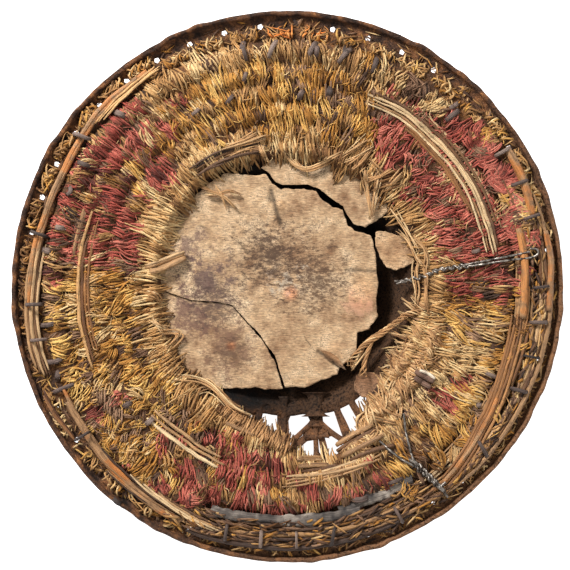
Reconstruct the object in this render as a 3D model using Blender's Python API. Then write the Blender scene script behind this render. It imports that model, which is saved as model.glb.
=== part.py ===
"""An old round buckler that lies on the flat of its boss, with its back upwards.

A pierced iron face carries a body of coiled straw bound with bast. A broken rawhide disc closes the
hollow of the boss, canes and a straw roll stiffen the edge, and laces and two wires tie it all.
Metres, +Z up, towards the side that the hand holds. Angles are in degrees from +X towards +Y.
"""

import math

import bmesh
import bpy
from mathutils import Vector

# The iron face
OUTER_RADIUS = 0.165
IRON_THICKNESS = 0.0018
BOSS_RADIUS = 0.073
BOSS_DEPTH = 0.036
BOSS_FLAT_RADIUS = 0.028
BOSS_ROWS = 3
FLUTE_DEPTH = 0.0022
FLANGE_RISE = 0.012
RIM_LIP_HEIGHT = 0.005
RIM_BEND_WIDTH = 0.004
RIM_SEGMENTS = 60

# The openwork round the boss: bars as angles, where every third bar is a stem that splits in three
STEM_ANGLE = -77.0
BARS_BEFORE_STEM = (-103.5, -92.1)
BARS_AFTER_STEM = (-68.1, -61.1, -52.0)
BAR_COUNT = 36
BARS_TO_A_STEM = 3
WINDOW_MARGIN = 0.0020
WINDOW_INNER_RADIUS = BOSS_RADIUS + WINDOW_MARGIN
WINDOW_OUTER_RADIUS = 0.1085
OPENWORK_RADIUS = WINDOW_OUTER_RADIUS + WINDOW_MARGIN

# The lacing holes
HOLE_COUNT = 45
HOLE_RADIUS = 0.0018
HOLE_INSET = 0.008
HOLE_SIDES = 5

# What touches in the real thing keeps this gap
GAP = 0.0003

# The rawhide disc
DISC_RADIUS = 0.0785
DISC_THICKNESS = 0.003
SCRAP_THICKNESS = 0.002

# The wicker body
WICKER_OVERLAP = 0.0030
WICKER_INNER_RADIUS = DISC_RADIUS - WICKER_OVERLAP
EDGE_WIDTH = 0.0310
WICKER_OUTER_RADIUS = OUTER_RADIUS - EDGE_WIDTH
COIL_COUNT = 5
COIL_PITCH = (WICKER_OUTER_RADIUS - WICKER_INNER_RADIUS) / COIL_COUNT
COIL_HEIGHT = 0.0095
COIL_VALLEY = 0.0035
SKIRT_THICKNESS = 0.0030
# Where coils are lost at the inner edge: angle, and how many coils deep the break is there
LOST_COILS = (
    (-103.0, 0.73), (-99.0, 1.62), (-96.0, 1.88), (-86.0, 1.97), (-83.0, 2.52), (-73.0, 2.61), (-70.0, 1.97),
    (-60.0, 1.80), (-57.0, 1.20), (-43.0, 1.20), (-38.0, 0.77), (-30.0, 0.77), (-20.0, 0.77), (-12.0, 0.77),
    (-4.0, 0.60),
)
SKIRT_CLEARANCE = 0.0007
SKIRT_RADIUS = OUTER_RADIUS - HOLE_INSET - HOLE_RADIUS - SKIRT_CLEARANCE
WICKER_SEGMENTS = 45

# The outermost coil, which lies on the skirt where it is still whole
OUTER_COIL_START, OUTER_COIL_END = 38.0, 249.0
OUTER_COIL_WIDTH = 0.0104
OUTER_COIL_HEIGHT = 0.0072
OUTER_COIL_CLEARANCE = 0.0009

# Laces and wires
LACE_WIDTH = 0.0024
LACE_THICKNESS = 0.0011
LACE_INNER_RADIUS = OUTER_RADIUS - 0.0188
STRIP_WIDTH = 0.0042
STRIP_HEIGHT = 0.0068
WIRE_RADIUS = 0.0007
STRAND_RADIUS = 0.0020


def hexes(colour):
    """Three 8-bit colour numbers as shares of one."""
    return tuple(channel / 255 for channel in colour)


def material(name, colour, roughness, metallic=0.0):
    """A plain Principled material with the part's own colour."""
    made = bpy.data.materials.new(name)
    made.use_nodes = True
    shader = made.node_tree.nodes["Principled BSDF"]
    shader.inputs["Base Color"].default_value = (*hexes(colour), 1.0)
    shader.inputs["Roughness"].default_value = roughness
    shader.inputs["Metallic"].default_value = metallic
    return made


def polar(radius, degrees, height=0.0):
    """A point from its distance to the buckler's axis, its angle and its height."""
    angle = math.radians(degrees)
    return Vector((radius * math.cos(angle), radius * math.sin(angle), height))


def add_object(name, mesh_data, finish):
    """A new object of that mesh, with one material, in the scene."""
    made = bpy.data.objects.new(name, mesh_data)
    made.data.materials.append(finish)
    bpy.context.scene.collection.objects.link(made)
    return made


def object_from_bmesh(name, shape, finish, smooth_below=None):
    """Closes a bmesh into an object whose faces point outwards, smooth below an angle if one is given."""
    bmesh.ops.recalc_face_normals(shape, faces=shape.faces)
    mesh_data = bpy.data.meshes.new(name)
    shape.to_mesh(mesh_data)
    shape.free()
    if smooth_below is not None:
        mesh_data.shade_smooth()
        mesh_data.set_sharp_from_angle(angle=math.radians(smooth_below))
    return add_object(name, mesh_data, finish)


def flange_front(radius):
    """Height of the iron's front face outside the boss: a shallow cone."""
    share = (radius - BOSS_RADIUS) / (OUTER_RADIUS - BOSS_RADIUS)
    return BOSS_DEPTH + FLANGE_RISE * share


def flange_back(radius):
    """Height of the iron's back face outside the boss."""
    slope = FLANGE_RISE / (OUTER_RADIUS - BOSS_RADIUS)
    return flange_front(radius) + IRON_THICKNESS * math.hypot(1.0, slope)


def bar_angles():
    """The bars' angles: the ones that the break shows, uneven as forged, then the rest evenly round."""
    seen = [*BARS_BEFORE_STEM, STEM_ANGLE, *BARS_AFTER_STEM]
    gaps = BAR_COUNT - len(seen) + 1
    step = (seen[0] + 360.0 - seen[-1]) / gaps
    first_stem = len(BARS_BEFORE_STEM)
    angles = seen[first_stem:] + [seen[-1] + step * (i + 1) for i in range(gaps - 1)]
    return angles + [angle + 360.0 for angle in seen[:first_stem]]


def window_outlines(left_is_stem, right_is_stem):
    """Windows between two bars, as (share of the way from bar to bar, radius) points."""
    inner, outer = WINDOW_INNER_RADIUS, WINDOW_OUTER_RADIUS
    reach = outer - inner
    if not left_is_stem and not right_is_stem:
        half = [(0.5, 0.0), (0.22, 0.10), (0.17, 0.5), (0.22, 0.86), (0.5, 1.0)]
        other = [(1 - share, depth) for share, depth in reversed(half[1:-1])]
        return [[(share, inner + reach * depth) for share, depth in half + other]]
    upper = [(0.52, 0.0), (0.30, 0.10), (0.20, 0.30), (0.48, 0.48), (0.80, 0.66), (0.83, 0.20), (0.72, 0.05)]
    lower = [(0.10, 0.59), (0.38, 0.59), (0.74, 0.79), (0.70, 0.96), (0.12, 0.98)]
    if right_is_stem:
        upper = [(1 - share, depth) for share, depth in upper]
        lower = [(1 - share, depth) for share, depth in lower]
    return [[(share, inner + reach * depth) for share, depth in window] for window in (upper, lower)]


def boss_point(radius, degrees, flute):
    """A point of the boss's front: a quarter-wave dome from its flat to its edge, sunk along each flute."""
    share = (radius - BOSS_FLAT_RADIUS) / (BOSS_RADIUS - BOSS_FLAT_RADIUS)
    height = BOSS_DEPTH * (1 - math.cos(share * math.pi / 2))
    sunk = FLUTE_DEPTH * flute * math.sin(math.pi * min(share, 0.85))
    return polar(radius, degrees, height - sunk)


def ring_of(shape, radius, angles):
    """Vertices on the flange's front at one radius, joined by edges into a ring."""
    verts = [shape.verts.new(polar(radius, angle, flange_front(radius))) for angle in angles]
    edges = [shape.edges.new((a, b)) for a, b in zip(verts, verts[1:] + verts[:1])]
    return verts, edges


def bridge(shape, first, second):
    """Quads between two rings of as many vertices."""
    count = len(first)
    for i in range(count):
        j = (i + 1) % count
        shape.faces.new((first[i], first[j], second[j], second[i]))


def fill_flat(shape, edges):
    """Fills a ring with holes as if it lay flat, then puts the heights back."""
    verts = {vert for edge in edges for vert in edge.verts}
    heights = {vert: vert.co.z for vert in verts}
    for vert in verts:
        vert.co.z = 0.0
    bmesh.ops.triangle_fill(shape, edges=edges, use_beauty=True, normal=(0, 0, 1))
    for vert, height in heights.items():
        vert.co.z = height


def loop_edges(shape, points):
    """A closed loop of edges through the points."""
    verts = [shape.verts.new(point) for point in points]
    return [shape.edges.new((a, b)) for a, b in zip(verts, verts[1:] + verts[:1])]


def iron_face(finish):
    """The forged face: fluted boss, openwork, plain band with lacing holes and an upturned rim."""
    shape = bmesh.new()
    bars = bar_angles()
    columns = []
    for i, angle in enumerate(bars):
        following = bars[(i + 1) % BAR_COUNT] + (360.0 if i == BAR_COUNT - 1 else 0.0)
        columns += [(angle, 1.0), ((angle + following) / 2, 0.0)]
    rows = []
    for row in range(BOSS_ROWS):
        radius = BOSS_FLAT_RADIUS + (BOSS_RADIUS - BOSS_FLAT_RADIUS) * row / BOSS_ROWS
        rows.append([shape.verts.new(boss_point(radius, angle, flute)) for angle, flute in columns])
    shape.faces.new(rows[0])
    boss_edge, boss_edges = ring_of(shape, BOSS_RADIUS, [angle for angle, _ in columns])
    rows.append(boss_edge)
    for lower, upper in zip(rows, rows[1:]):
        bridge(shape, lower, upper)

    band_angles = [360.0 * i / RIM_SEGMENTS for i in range(RIM_SEGMENTS)]
    middle, middle_edges = ring_of(shape, OPENWORK_RADIUS, band_angles)
    openwork = boss_edges + middle_edges
    for i, angle in enumerate(bars):
        following = bars[(i + 1) % BAR_COUNT] + (360.0 if i == BAR_COUNT - 1 else 0.0)
        left_is_stem, right_is_stem = i % BARS_TO_A_STEM == 0, (i + 1) % BARS_TO_A_STEM == 0
        for window in window_outlines(left_is_stem, right_is_stem):
            points = [
                polar(radius, angle + (following - angle) * share, flange_front(radius))
                for share, radius in window
            ]
            openwork += loop_edges(shape, points)
    fill_flat(shape, openwork)

    bend_radius = OUTER_RADIUS - RIM_BEND_WIDTH
    bend, bend_edges = ring_of(shape, bend_radius, band_angles)
    band = middle_edges + bend_edges
    hole_ring = OUTER_RADIUS - HOLE_INSET
    for i in range(HOLE_COUNT):
        centre = polar(hole_ring, 360.0 * i / HOLE_COUNT, flange_front(hole_ring))
        corners = [centre + polar(HOLE_RADIUS, 360.0 * k / HOLE_SIDES) for k in range(HOLE_SIDES)]
        band += loop_edges(shape, corners)
    fill_flat(shape, band)

    lip = [bend]
    for inset, rise in ((0.15, 0.22), (0.0, 1.0)):
        radius = OUTER_RADIUS - RIM_BEND_WIDTH * inset
        height = flange_front(OUTER_RADIUS) + RIM_LIP_HEIGHT * rise
        lip.append([shape.verts.new(polar(radius, angle, height)) for angle in band_angles])
    for lower, upper in zip(lip, lip[1:]):
        bridge(shape, lower, upper)
    face = object_from_bmesh("iron_face", shape, finish)
    up = sum(polygon.normal.z * polygon.area for polygon in face.data.polygons)
    if up > 0:
        face.data.flip_normals()
    face.data.shade_smooth()
    face.data.set_sharp_from_angle(angle=math.radians(35))
    solidify = face.modifiers.new("thickness", "SOLIDIFY")
    solidify.thickness = IRON_THICKNESS
    solidify.offset = -1.0
    solidify.use_even_offset = True
    return face


def plate(name, outline, bottom, thickness, finish):
    """A flat piece of that outline, with square edges."""
    shape = bmesh.new()
    base = shape.faces.new([shape.verts.new((x, y, bottom)) for x, y in outline])
    raised = bmesh.ops.extrude_face_region(shape, geom=[base])["geom"]
    top = [item for item in raised if isinstance(item, bmesh.types.BMVert)]
    bmesh.ops.translate(shape, vec=(0, 0, thickness), verts=top)
    return object_from_bmesh(name, shape, finish)


def arc_points(radius, start, end, count):
    """Points of an arc in the flat, from one angle to another."""
    steps = [start + (end - start) * i / (count - 1) for i in range(count)]
    return [tuple(polar(radius, angle).xy) for angle in steps]


def on_disc(*pairs):
    """Points written in thousandths of the disc's radius."""
    return [(x * DISC_RADIUS / 1000, y * DISC_RADIUS / 1000) for x, y in pairs]


def on_shield(*pairs):
    """Points written in thousandths of the buckler's radius."""
    return [(x * OUTER_RADIUS / 1000, y * OUTER_RADIUS / 1000) for x, y in pairs]


DISC_BOTTOM = flange_back(DISC_RADIUS) + GAP
DISC_TOP = DISC_BOTTOM + DISC_THICKNESS


def rawhide_disc(finish):
    """The disc over the boss's hollow, dried and broken: four shards, and a scrap on the openwork."""
    crack = on_disc((-745, -103), (-424, -141), (-378, -195), (-195, -394), (-88, -562), (-19, -776))
    torn_edge = on_disc(
        (134, -778), (254, -725), (385, -680), (422, -606), (534, -503), (534, -355),
        (625, -327), (696, -225), (682, -96), (699, 42), (673, 274), (646, 394),
    )
    under_upper_shard = on_disc(
        (531, 432), (470, 470), (424, 589), (348, 615), (264, 665), (220, 730),
        (118, 761), (-47, 753), (-118, 791), (-164, 864), (-363, 864),
    )
    whole_side = arc_points(DISC_RADIUS, 119.0, 181.0, 8)
    main = torn_edge + under_upper_shard + whole_side + crack
    plate("hide_disc_main", main, DISC_BOTTOM, DISC_THICKNESS, finish)

    crack_width = (0.0007, 0.0007, 0.0008, 0.0010, 0.0013, 0.0016)
    far_side = [(x - width, y - width) for (x, y), width in zip(crack, crack_width)]
    lower_arc = arc_points(DISC_RADIUS, 181.9, 232.0, 7)
    lower_edge = on_disc((-242, -782), (-161, -799))
    lower = lower_arc + lower_edge + list(reversed(far_side))
    plate("hide_disc_lower", lower, DISC_BOTTOM, DISC_THICKNESS, finish)

    shard_edge = on_disc(
        (-205, 916), (-148, 878), (-102, 814), (-50, 785), (11, 785), (129, 797), (186, 771),
        (241, 753), (339, 682), (431, 617), (460, 553), (515, 478), (599, 455), (684, 502),
    )
    shard_arc = arc_points(DISC_RADIUS, 37.0, 96.0, 8)
    plate("hide_disc_upper_shard", shard_edge + shard_arc, DISC_BOTTOM, DISC_THICKNESS, finish)

    right_left = on_disc((680, 424), (688, 307), (707, 229), (763, 144), (845, 126), (929, 164))
    right_top = on_disc((857, 394), (806, 411), (748, 428))
    right_arc = arc_points(DISC_RADIUS, 11.0, 23.5, 3)
    plate("hide_disc_right_shard", right_left + right_arc + right_top, DISC_BOTTOM, DISC_THICKNESS, finish)

    scrap = on_disc(
        (524, -676), (516, -791), (569, -852), (669, -883), (722, -806), (730, -699), (646, -654)
    )
    scrap_reach = max(math.hypot(x, y) for x, y in scrap)
    plate("hide_scrap", scrap, flange_back(scrap_reach) + GAP, SCRAP_THICKNESS, finish)


def skirt_top(radius):
    """Height of the thin skirt of binding outside the coils."""
    return flange_back(radius) + GAP + SKIRT_THICKNESS


def valley_top(radius):
    """Height of the groove between two coils."""
    return flange_back(radius) + COIL_HEIGHT - COIL_VALLEY


def wicker_profile():
    """The body's section as (radius, height): a rebate over the disc, the skirt, then coil after coil."""
    rebate = DISC_TOP + GAP
    step = DISC_RADIUS + 3 * GAP
    section = [
        (WICKER_INNER_RADIUS, rebate),
        (step, rebate),
        (step + GAP, flange_back(step + GAP) + GAP),
        (SKIRT_RADIUS, flange_back(SKIRT_RADIUS) + GAP),
        (SKIRT_RADIUS, skirt_top(SKIRT_RADIUS)),
        (WICKER_OUTER_RADIUS + 2 * GAP, skirt_top(WICKER_OUTER_RADIUS + 2 * GAP)),
    ]
    for coil in reversed(range(COIL_COUNT)):
        outside = WICKER_INNER_RADIUS + COIL_PITCH * (coil + 1)
        section.append((outside, valley_top(outside)))
        for share in (0.72, 0.28):
            radius = outside - COIL_PITCH * (1 - share)
            section.append((radius, flange_back(radius) + COIL_HEIGHT))
    section.append((WICKER_INNER_RADIUS, valley_top(WICKER_INNER_RADIUS)))
    return section


def wicker_body(finish):
    """The coiled straw body as one ring, broken away where the coils are lost."""
    shape = bmesh.new()
    section = wicker_profile()
    rings = []
    for i in range(WICKER_SEGMENTS):
        angle = 360.0 * i / WICKER_SEGMENTS
        rings.append([shape.verts.new(polar(radius, angle, height)) for radius, height in section])
    for first, second in zip(rings, rings[1:] + rings[:1]):
        bridge(shape, first, second)
    body = object_from_bmesh("wicker_body", shape, finish)

    outer = [tuple(polar(WICKER_INNER_RADIUS + COIL_PITCH * coils, angle).xy) for angle, coils in LOST_COILS]
    inside = WICKER_INNER_RADIUS - COIL_PITCH
    inner = [tuple(polar(inside, angle).xy) for angle in (0.0, -20.0, -40.0, -60.0, -80.0, -104.0)]
    cutter = plate("lost_coils", outer + inner, DISC_BOTTOM - 0.005, 0.03, finish)
    cutter.hide_render = True
    cutter.display_type = "WIRE"
    cut = body.modifiers.new("lost coils", "BOOLEAN")
    cut.operation = "DIFFERENCE"
    cut.solver = "EXACT"
    cut.object = cutter


def rod(name, points, half_width, half_height, sides, finish, smooth_below=40, wide_way=None):
    """A rod of elliptical section along a path, with flat ends. Its width lies level, or along wide_way."""
    shape = bmesh.new()
    rings = []
    for i, point in enumerate(points):
        before, after = points[max(i - 1, 0)], points[min(i + 1, len(points) - 1)]
        along = (after - before).normalized()
        across = wide_way or along.cross(Vector((0, 0, 1))).normalized()
        above = across.cross(along).normalized()
        ring = []
        for k in range(sides):
            turn = 2 * math.pi * (k + 0.5) / sides
            offset = across * (half_width * math.cos(turn)) + above * (half_height * math.sin(turn))
            ring.append(shape.verts.new(point + offset))
        rings.append(ring)
    for first, second in zip(rings, rings[1:]):
        bridge(shape, first, second)
    shape.faces.new(rings[0])
    shape.faces.new(rings[-1])
    return object_from_bmesh(name, shape, finish, smooth_below)


def arc_path(radius, start, end, height):
    """Points along an arc: its two ends, and between them the angles at which the body has its corners."""
    step = 360.0 / WICKER_SEGMENTS
    inside = [step * i for i in range(math.ceil((start + 2) / step), math.floor((end - 2) / step) + 1)]
    return [polar(radius, angle, height) for angle in [start, *inside, end]]


def outer_coil(finish):
    """The body's outermost coil, round straw bound with bast, lying on the skirt."""
    half = OUTER_COIL_WIDTH / 2
    radius = WICKER_OUTER_RADIUS + OUTER_COIL_CLEARANCE + half
    height = skirt_top(radius + half) + GAP + OUTER_COIL_HEIGHT / 2
    path = arc_path(radius, OUTER_COIL_START, OUTER_COIL_END, height)
    rod("outer_coil", path, half, OUTER_COIL_HEIGHT / 2, 7, finish)


# Canes that stiffen the edge: name, distance from the rim, first and last angle, thickness
EDGE_CANES = (
    ("edge_cane_left_upper", 0.0140, 123.0, 202.0, 0.0060),
    ("edge_cane_left_lower", 0.0140, 206.0, 247.0, 0.0060),
    ("edge_cane_bottom_outer", 0.0148, 250.5, 300.0, 0.0054),
    ("edge_cane_bottom_inner", 0.0228, 251.5, 303.0, 0.0052),
    ("edge_cane_right_outer", 0.0151, 302.0, 395.0, 0.0050),
    ("edge_cane_right_middle", 0.0230, 305.0, 394.0, 0.0054),
    ("edge_cane_right_inner", 0.0282, 309.0, 382.0, 0.0042),
)
# Canes laid bare on the body, each in a groove between coils: name, groove, first and last angle, thickness
BARE_CANES = (
    ("bare_cane_left", 4, 160.0, 200.0, 0.0062),
    ("bare_cane_right_outer", 4, 16.0, 64.0, 0.0058),
    ("bare_cane_right_inner", 3, 24.0, 56.0, 0.0056),
    ("bare_cane_lower_left", 3, 224.0, 256.0, 0.0050),
    ("bare_cane_lower_right", 4, 272.0, 304.0, 0.0058),
)
CANE_SIDES = 5


def canes(finish):
    """Split canes: those along the edge lie on the skirt, the bare ones lie in the grooves."""
    for name, inset, start, end, thickness in EDGE_CANES:
        half = thickness / 2
        radius = OUTER_RADIUS - inset
        path = arc_path(radius, start, end, skirt_top(radius + half) + GAP + half)
        rod(name, path, half, half, CANE_SIDES, finish)
    flank = math.atan2(COIL_VALLEY, COIL_PITCH * 0.28)
    for name, groove, start, end, thickness in BARE_CANES:
        half = thickness / 2
        radius = WICKER_INNER_RADIUS + groove * COIL_PITCH
        path = arc_path(radius, start, end, valley_top(radius) + (half + GAP) / math.cos(flank))
        rod(name, path, half, half, CANE_SIDES, finish)


# Laces over the edge canes down into holes, and lace stubs on the outermost coil, as angles
LACED_HOLES = (-104, -96, -88, -80, -64, -40, -24, -16, -8, 0, 16, 24, 32, 144, 168, 184, 192, 216)
COIL_LACES = (46.0, 68.5, 76.0, 84.0, 93.5, 100.5)


def lace(name, angle, path, finish):
    """A flat leather lace along a path in the upright plane at that angle."""
    wide_way = polar(1.0, angle + 90.0)
    rod(name, path, LACE_WIDTH / math.sqrt(2), LACE_THICKNESS / math.sqrt(2), 4, finish, None, wide_way)


def laces(finish):
    """The leather laces that sew the edge to the iron."""
    half = LACE_THICKNESS / 2
    thickest = max(thickness for *_, thickness in EDGE_CANES)
    crown = skirt_top(SKIRT_RADIUS) + GAP + thickest + GAP + half
    hole_radius = OUTER_RADIUS - HOLE_INSET
    for number, angle in enumerate(LACED_HOLES, 1):
        path = [
            polar(LACE_INNER_RADIUS, angle, skirt_top(LACE_INNER_RADIUS) + GAP),
            polar(LACE_INNER_RADIUS + 0.0002, angle, crown),
            polar(hole_radius - 0.0012, angle, crown),
            polar(hole_radius, angle, crown - 0.0016),
            polar(hole_radius, angle, flange_back(hole_radius) - IRON_THICKNESS / 2),
        ]
        lace(f"lace_{number:02d}", angle, path, finish)
    inner = WICKER_OUTER_RADIUS + OUTER_COIL_CLEARANCE
    outer = inner + OUTER_COIL_WIDTH
    base = skirt_top(outer) + GAP
    for number, angle in enumerate(COIL_LACES, 1):
        top = base + OUTER_COIL_HEIGHT + GAP + half
        path = [
            polar(inner + 0.0030, angle, top),
            polar(outer - 0.0028, angle, top),
            polar(outer + 0.0010, angle, top - 0.0016),
            polar(outer + 0.0014, angle, base),
        ]
        lace(f"coil_lace_{number:02d}", angle, path, finish)


def leather_strip(finish):
    """The dark leather strip along the lower edge, between the body and the canes."""
    half = STRIP_WIDTH / 2
    radius = WICKER_OUTER_RADIUS + OUTER_COIL_CLEARANCE + half
    path = arc_path(radius, 252.0, 300.0, skirt_top(radius + half) + GAP + STRIP_HEIGHT / 2)
    rod("leather_strip", path, half, STRIP_HEIGHT / 2, 6, finish, None)


def wire_ties(finish):
    """Two iron wires that were twisted round the body as repairs, one at the right, one lower down."""
    over_coils = COIL_HEIGHT + 2 * GAP + WIRE_RADIUS
    thickest = max(thickness for *_, thickness in EDGE_CANES)
    over_edge = skirt_top(SKIRT_RADIUS) + 2 * GAP + thickest + WIRE_RADIUS

    def laid(x, y):
        """A point of the wire where it lies on the coils, or on the canes further out."""
        radius = math.hypot(x, y)
        height = flange_back(radius) + over_coils
        if radius > WICKER_OUTER_RADIUS - 0.001:
            height = over_edge
        return Vector((x, y, height))

    right = on_shield(
        (509, 24), (539, 69), (630, 78), (724, 102), (806, 126), (885, 132), (907, 122),
        (885, 109), (806, 103), (730, 78), (642, 62),
    )
    rod("wire_tie_right", [laid(x, y) for x, y in right], WIRE_RADIUS, WIRE_RADIUS, 5, finish)
    lower = on_shield(
        (427, -455), (436, -533), (448, -621), (485, -658), (533, -706), (570, -745), (589, -771)
    )
    rod("wire_tie_lower", [laid(x, y) for x, y in lower], WIRE_RADIUS, WIRE_RADIUS, 5, finish)


def torn_binding(finish):
    """A twisted strand of the body's inner binding that still spans the break, held at both ends."""
    height = DISC_TOP + GAP + STRAND_RADIUS
    route = on_disc(
        (1019, -197), (906, -210), (852, -264), (745, -340), (669, -386), (577, -452), (471, -529)
    )
    rod("torn_binding", [Vector((x, y, height)) for x, y in route], STRAND_RADIUS, STRAND_RADIUS, 6, finish)


def build():
    """Clears the scene and makes every piece."""
    for existing in list(bpy.data.objects):
        bpy.data.objects.remove(existing)
    iron = material("rusted iron", (78, 62, 52), 0.7, 0.6)
    wire = material("old iron wire", (92, 86, 80), 0.5, 0.8)
    bast = material("dyed bast", (168, 124, 62), 0.9)
    straw = material("straw", (190, 156, 106), 0.85)
    cane = material("split cane", (176, 128, 80), 0.7)
    rawhide = material("dried rawhide", (205, 180, 145), 0.85)
    leather = material("dark lace leather", (84, 72, 70), 0.8)
    iron_face(iron)
    rawhide_disc(rawhide)
    wicker_body(bast)
    outer_coil(bast)
    canes(cane)
    laces(leather)
    leather_strip(leather)
    wire_ties(wire)
    torn_binding(straw)


build()
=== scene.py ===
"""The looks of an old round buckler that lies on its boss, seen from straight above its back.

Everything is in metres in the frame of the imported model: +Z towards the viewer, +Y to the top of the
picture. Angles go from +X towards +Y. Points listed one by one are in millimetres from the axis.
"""

import math

import bmesh
import bpy
import numpy as np
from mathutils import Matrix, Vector


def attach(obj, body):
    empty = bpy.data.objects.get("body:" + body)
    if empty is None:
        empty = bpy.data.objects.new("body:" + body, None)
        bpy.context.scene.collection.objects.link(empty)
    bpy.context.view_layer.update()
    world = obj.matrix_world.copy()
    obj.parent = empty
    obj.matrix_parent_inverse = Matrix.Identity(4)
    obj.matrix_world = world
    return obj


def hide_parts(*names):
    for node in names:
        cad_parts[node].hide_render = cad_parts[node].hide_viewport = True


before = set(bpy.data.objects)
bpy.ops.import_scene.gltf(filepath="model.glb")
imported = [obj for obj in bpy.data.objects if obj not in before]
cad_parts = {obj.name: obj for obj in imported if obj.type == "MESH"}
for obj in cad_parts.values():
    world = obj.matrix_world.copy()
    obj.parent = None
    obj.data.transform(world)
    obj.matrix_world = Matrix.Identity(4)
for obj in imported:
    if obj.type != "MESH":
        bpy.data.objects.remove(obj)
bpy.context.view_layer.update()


# The studio: a plain white floor that glows a little, so that it stays white in the openwork's windows,
# one soft light from the upper left, a larger and weaker one from the lower right, and pale air.
# The camera looks straight down from a metre above it.


def add_node(tree, kind, inputs=(), **settings):
    """A shader node with its settings. An input is given a number, a colour, or another node's output."""
    made = tree.nodes.new(kind)
    for key, value in settings.items():
        setattr(made, key, value)
    for key, value in dict(inputs).items():
        if isinstance(value, bpy.types.NodeSocket):
            tree.links.new(value, made.inputs[key])
        else:
            made.inputs[key].default_value = value
    return made


def paint(red, green, blue):
    """A colour written as seen on a screen, 0 to 255, turned to linear light by the sRGB curve."""
    seen = np.array([red, green, blue]) / 255.0
    linear = np.where(seen <= 0.04045, seen / 12.92, ((seen + 0.055) / 1.055) ** 2.4)
    return (*linear.tolist(), 1.0)


def new_finish(name, roughness=0.8, metallic=0.0):
    """A node material: the material, its tree and its main shader."""
    made = bpy.data.materials.new(name)
    made.use_nodes = True
    shader = made.node_tree.nodes["Principled BSDF"]
    shader.inputs["Roughness"].default_value = roughness
    shader.inputs["Metallic"].default_value = metallic
    return made, made.node_tree, shader


floor_finish, tree, shader = new_finish("white floor", 0.9)
shader.inputs["Base Color"].default_value = (0.9, 0.9, 0.9, 1.0)
shader.inputs["Emission Color"].default_value = (1.0, 1.0, 1.0, 1.0)
shader.inputs["Emission Strength"].default_value = 0.95
floor_mesh = bpy.data.meshes.new("floor")
floor_mesh.from_pydata([(-3, -3, 0), (3, -3, 0), (3, 3, 0), (-3, 3, 0)], [], [(0, 1, 2, 3)])
floor = bpy.data.objects.new("floor", floor_mesh)
floor.data.materials.append(floor_finish)
bpy.context.scene.collection.objects.link(floor)


def soft_light(name, place, size, power):
    """A square light at that place, turned to face the buckler."""
    lamp = bpy.data.lights.new(name, "AREA")
    lamp.size = size
    lamp.energy = power
    made = bpy.data.objects.new(name, lamp)
    made.location = place
    away = Vector((0.0, 0.0, 0.04)) - Vector(place)
    made.rotation_euler = away.to_track_quat("-Z", "Y").to_euler()
    bpy.context.scene.collection.objects.link(made)


soft_light("key_light", (-0.70, 0.95, 0.95), 0.40, 34.0)
soft_light("fill_light", (0.9, -0.5, 1.3), 0.9, 6.0)
world = bpy.data.worlds.new("studio")
world.use_nodes = True
world.node_tree.nodes["Background"].inputs["Color"].default_value = (1.0, 1.0, 1.0, 1.0)
world.node_tree.nodes["Background"].inputs["Strength"].default_value = 0.36
bpy.context.scene.world = world
bpy.context.scene.view_settings.view_transform = "Standard"

lens = bpy.data.cameras.new("camera")
lens.lens = 100.0
lens.sensor_width = 36.0
camera = bpy.data.objects.new("camera", lens)
camera.location = (-0.0015, 0.0009, 1.0)
bpy.context.scene.collection.objects.link(camera)
bpy.context.scene.camera = camera


# The face: one iron forging with a fluted boss, openwork, a plain band with lacing holes and an
# upturned rim. It keeps the imported shape, with its joined faces shaded round. It is rusted brown and
# crusted paler at the lower right, and towards the axis, within 92 mm, it is painted near black as the
# shade under the disc. The rim's edge was hammered into a thin roll.


def ripple(x, y, cell, seed):
    """Smooth noise from -1 to 1: a random height at each corner of a square lattice of that cell,
    blended between the four nearest corners by a smoothstep."""
    column, row = np.floor(x / cell), np.floor(y / cell)
    across, up = x / cell - column, y / cell - row
    across, up = across * across * (3 - 2 * across), up * up * (3 - 2 * up)

    def corner(a, b):
        """The random height of a corner: the broken part of a large sine."""
        large = np.sin(a * 127.1 + b * 311.7 + seed * 74.7) * 43758.5453
        return 2 * (large - np.floor(large)) - 1

    low = corner(column, row) * (1 - across) + corner(column + 1, row) * across
    high = corner(column, row + 1) * (1 - across) + corner(column + 1, row + 1) * across
    return low * (1 - up) + high * up


def put_mesh(name, points, quads, tris=None, uv=None, dye=None):
    """A smooth mesh object from whole arrays: points, faces of four and of three, one uv pair for each
    corner of a face (the fours first), and one colour for each point."""
    tris = np.zeros((0, 3), int) if tris is None else tris
    mesh = bpy.data.meshes.new(name)
    mesh.vertices.add(len(points))
    mesh.vertices.foreach_set("co", np.ascontiguousarray(points, np.float32).ravel())
    corners = np.concatenate([quads.ravel(), tris.ravel()]).astype(np.int32)
    mesh.loops.add(len(corners))
    mesh.loops.foreach_set("vertex_index", corners)
    starts = np.concatenate([np.arange(len(quads)) * 4, quads.size + np.arange(len(tris)) * 3])
    mesh.polygons.add(len(starts))
    mesh.polygons.foreach_set("loop_start", starts.astype(np.int32))
    mesh.update(calc_edges=True)
    if uv is not None:
        layer = mesh.uv_layers.new(name="strand")
        layer.data.foreach_set("uv", np.ascontiguousarray(uv, np.float32).ravel())
    if dye is not None:
        full = np.concatenate([dye, np.ones((len(dye), 1))], axis=1)
        colours = mesh.attributes.new("dye", "FLOAT_COLOR", "POINT")
        colours.data.foreach_set("color", np.ascontiguousarray(full, np.float32).ravel())
    mesh.shade_smooth()
    made = bpy.data.objects.new(name, mesh)
    bpy.context.scene.collection.objects.link(made)
    return made


def place(piece, finish, slot, *nodes):
    """Gives a piece its finish, lets it ride on the body, and hides the nodes that it stands for."""
    piece.data.materials.clear()
    piece.data.materials.append(finish)
    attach(piece, "root")
    if nodes:
        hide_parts(*nodes)


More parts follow.
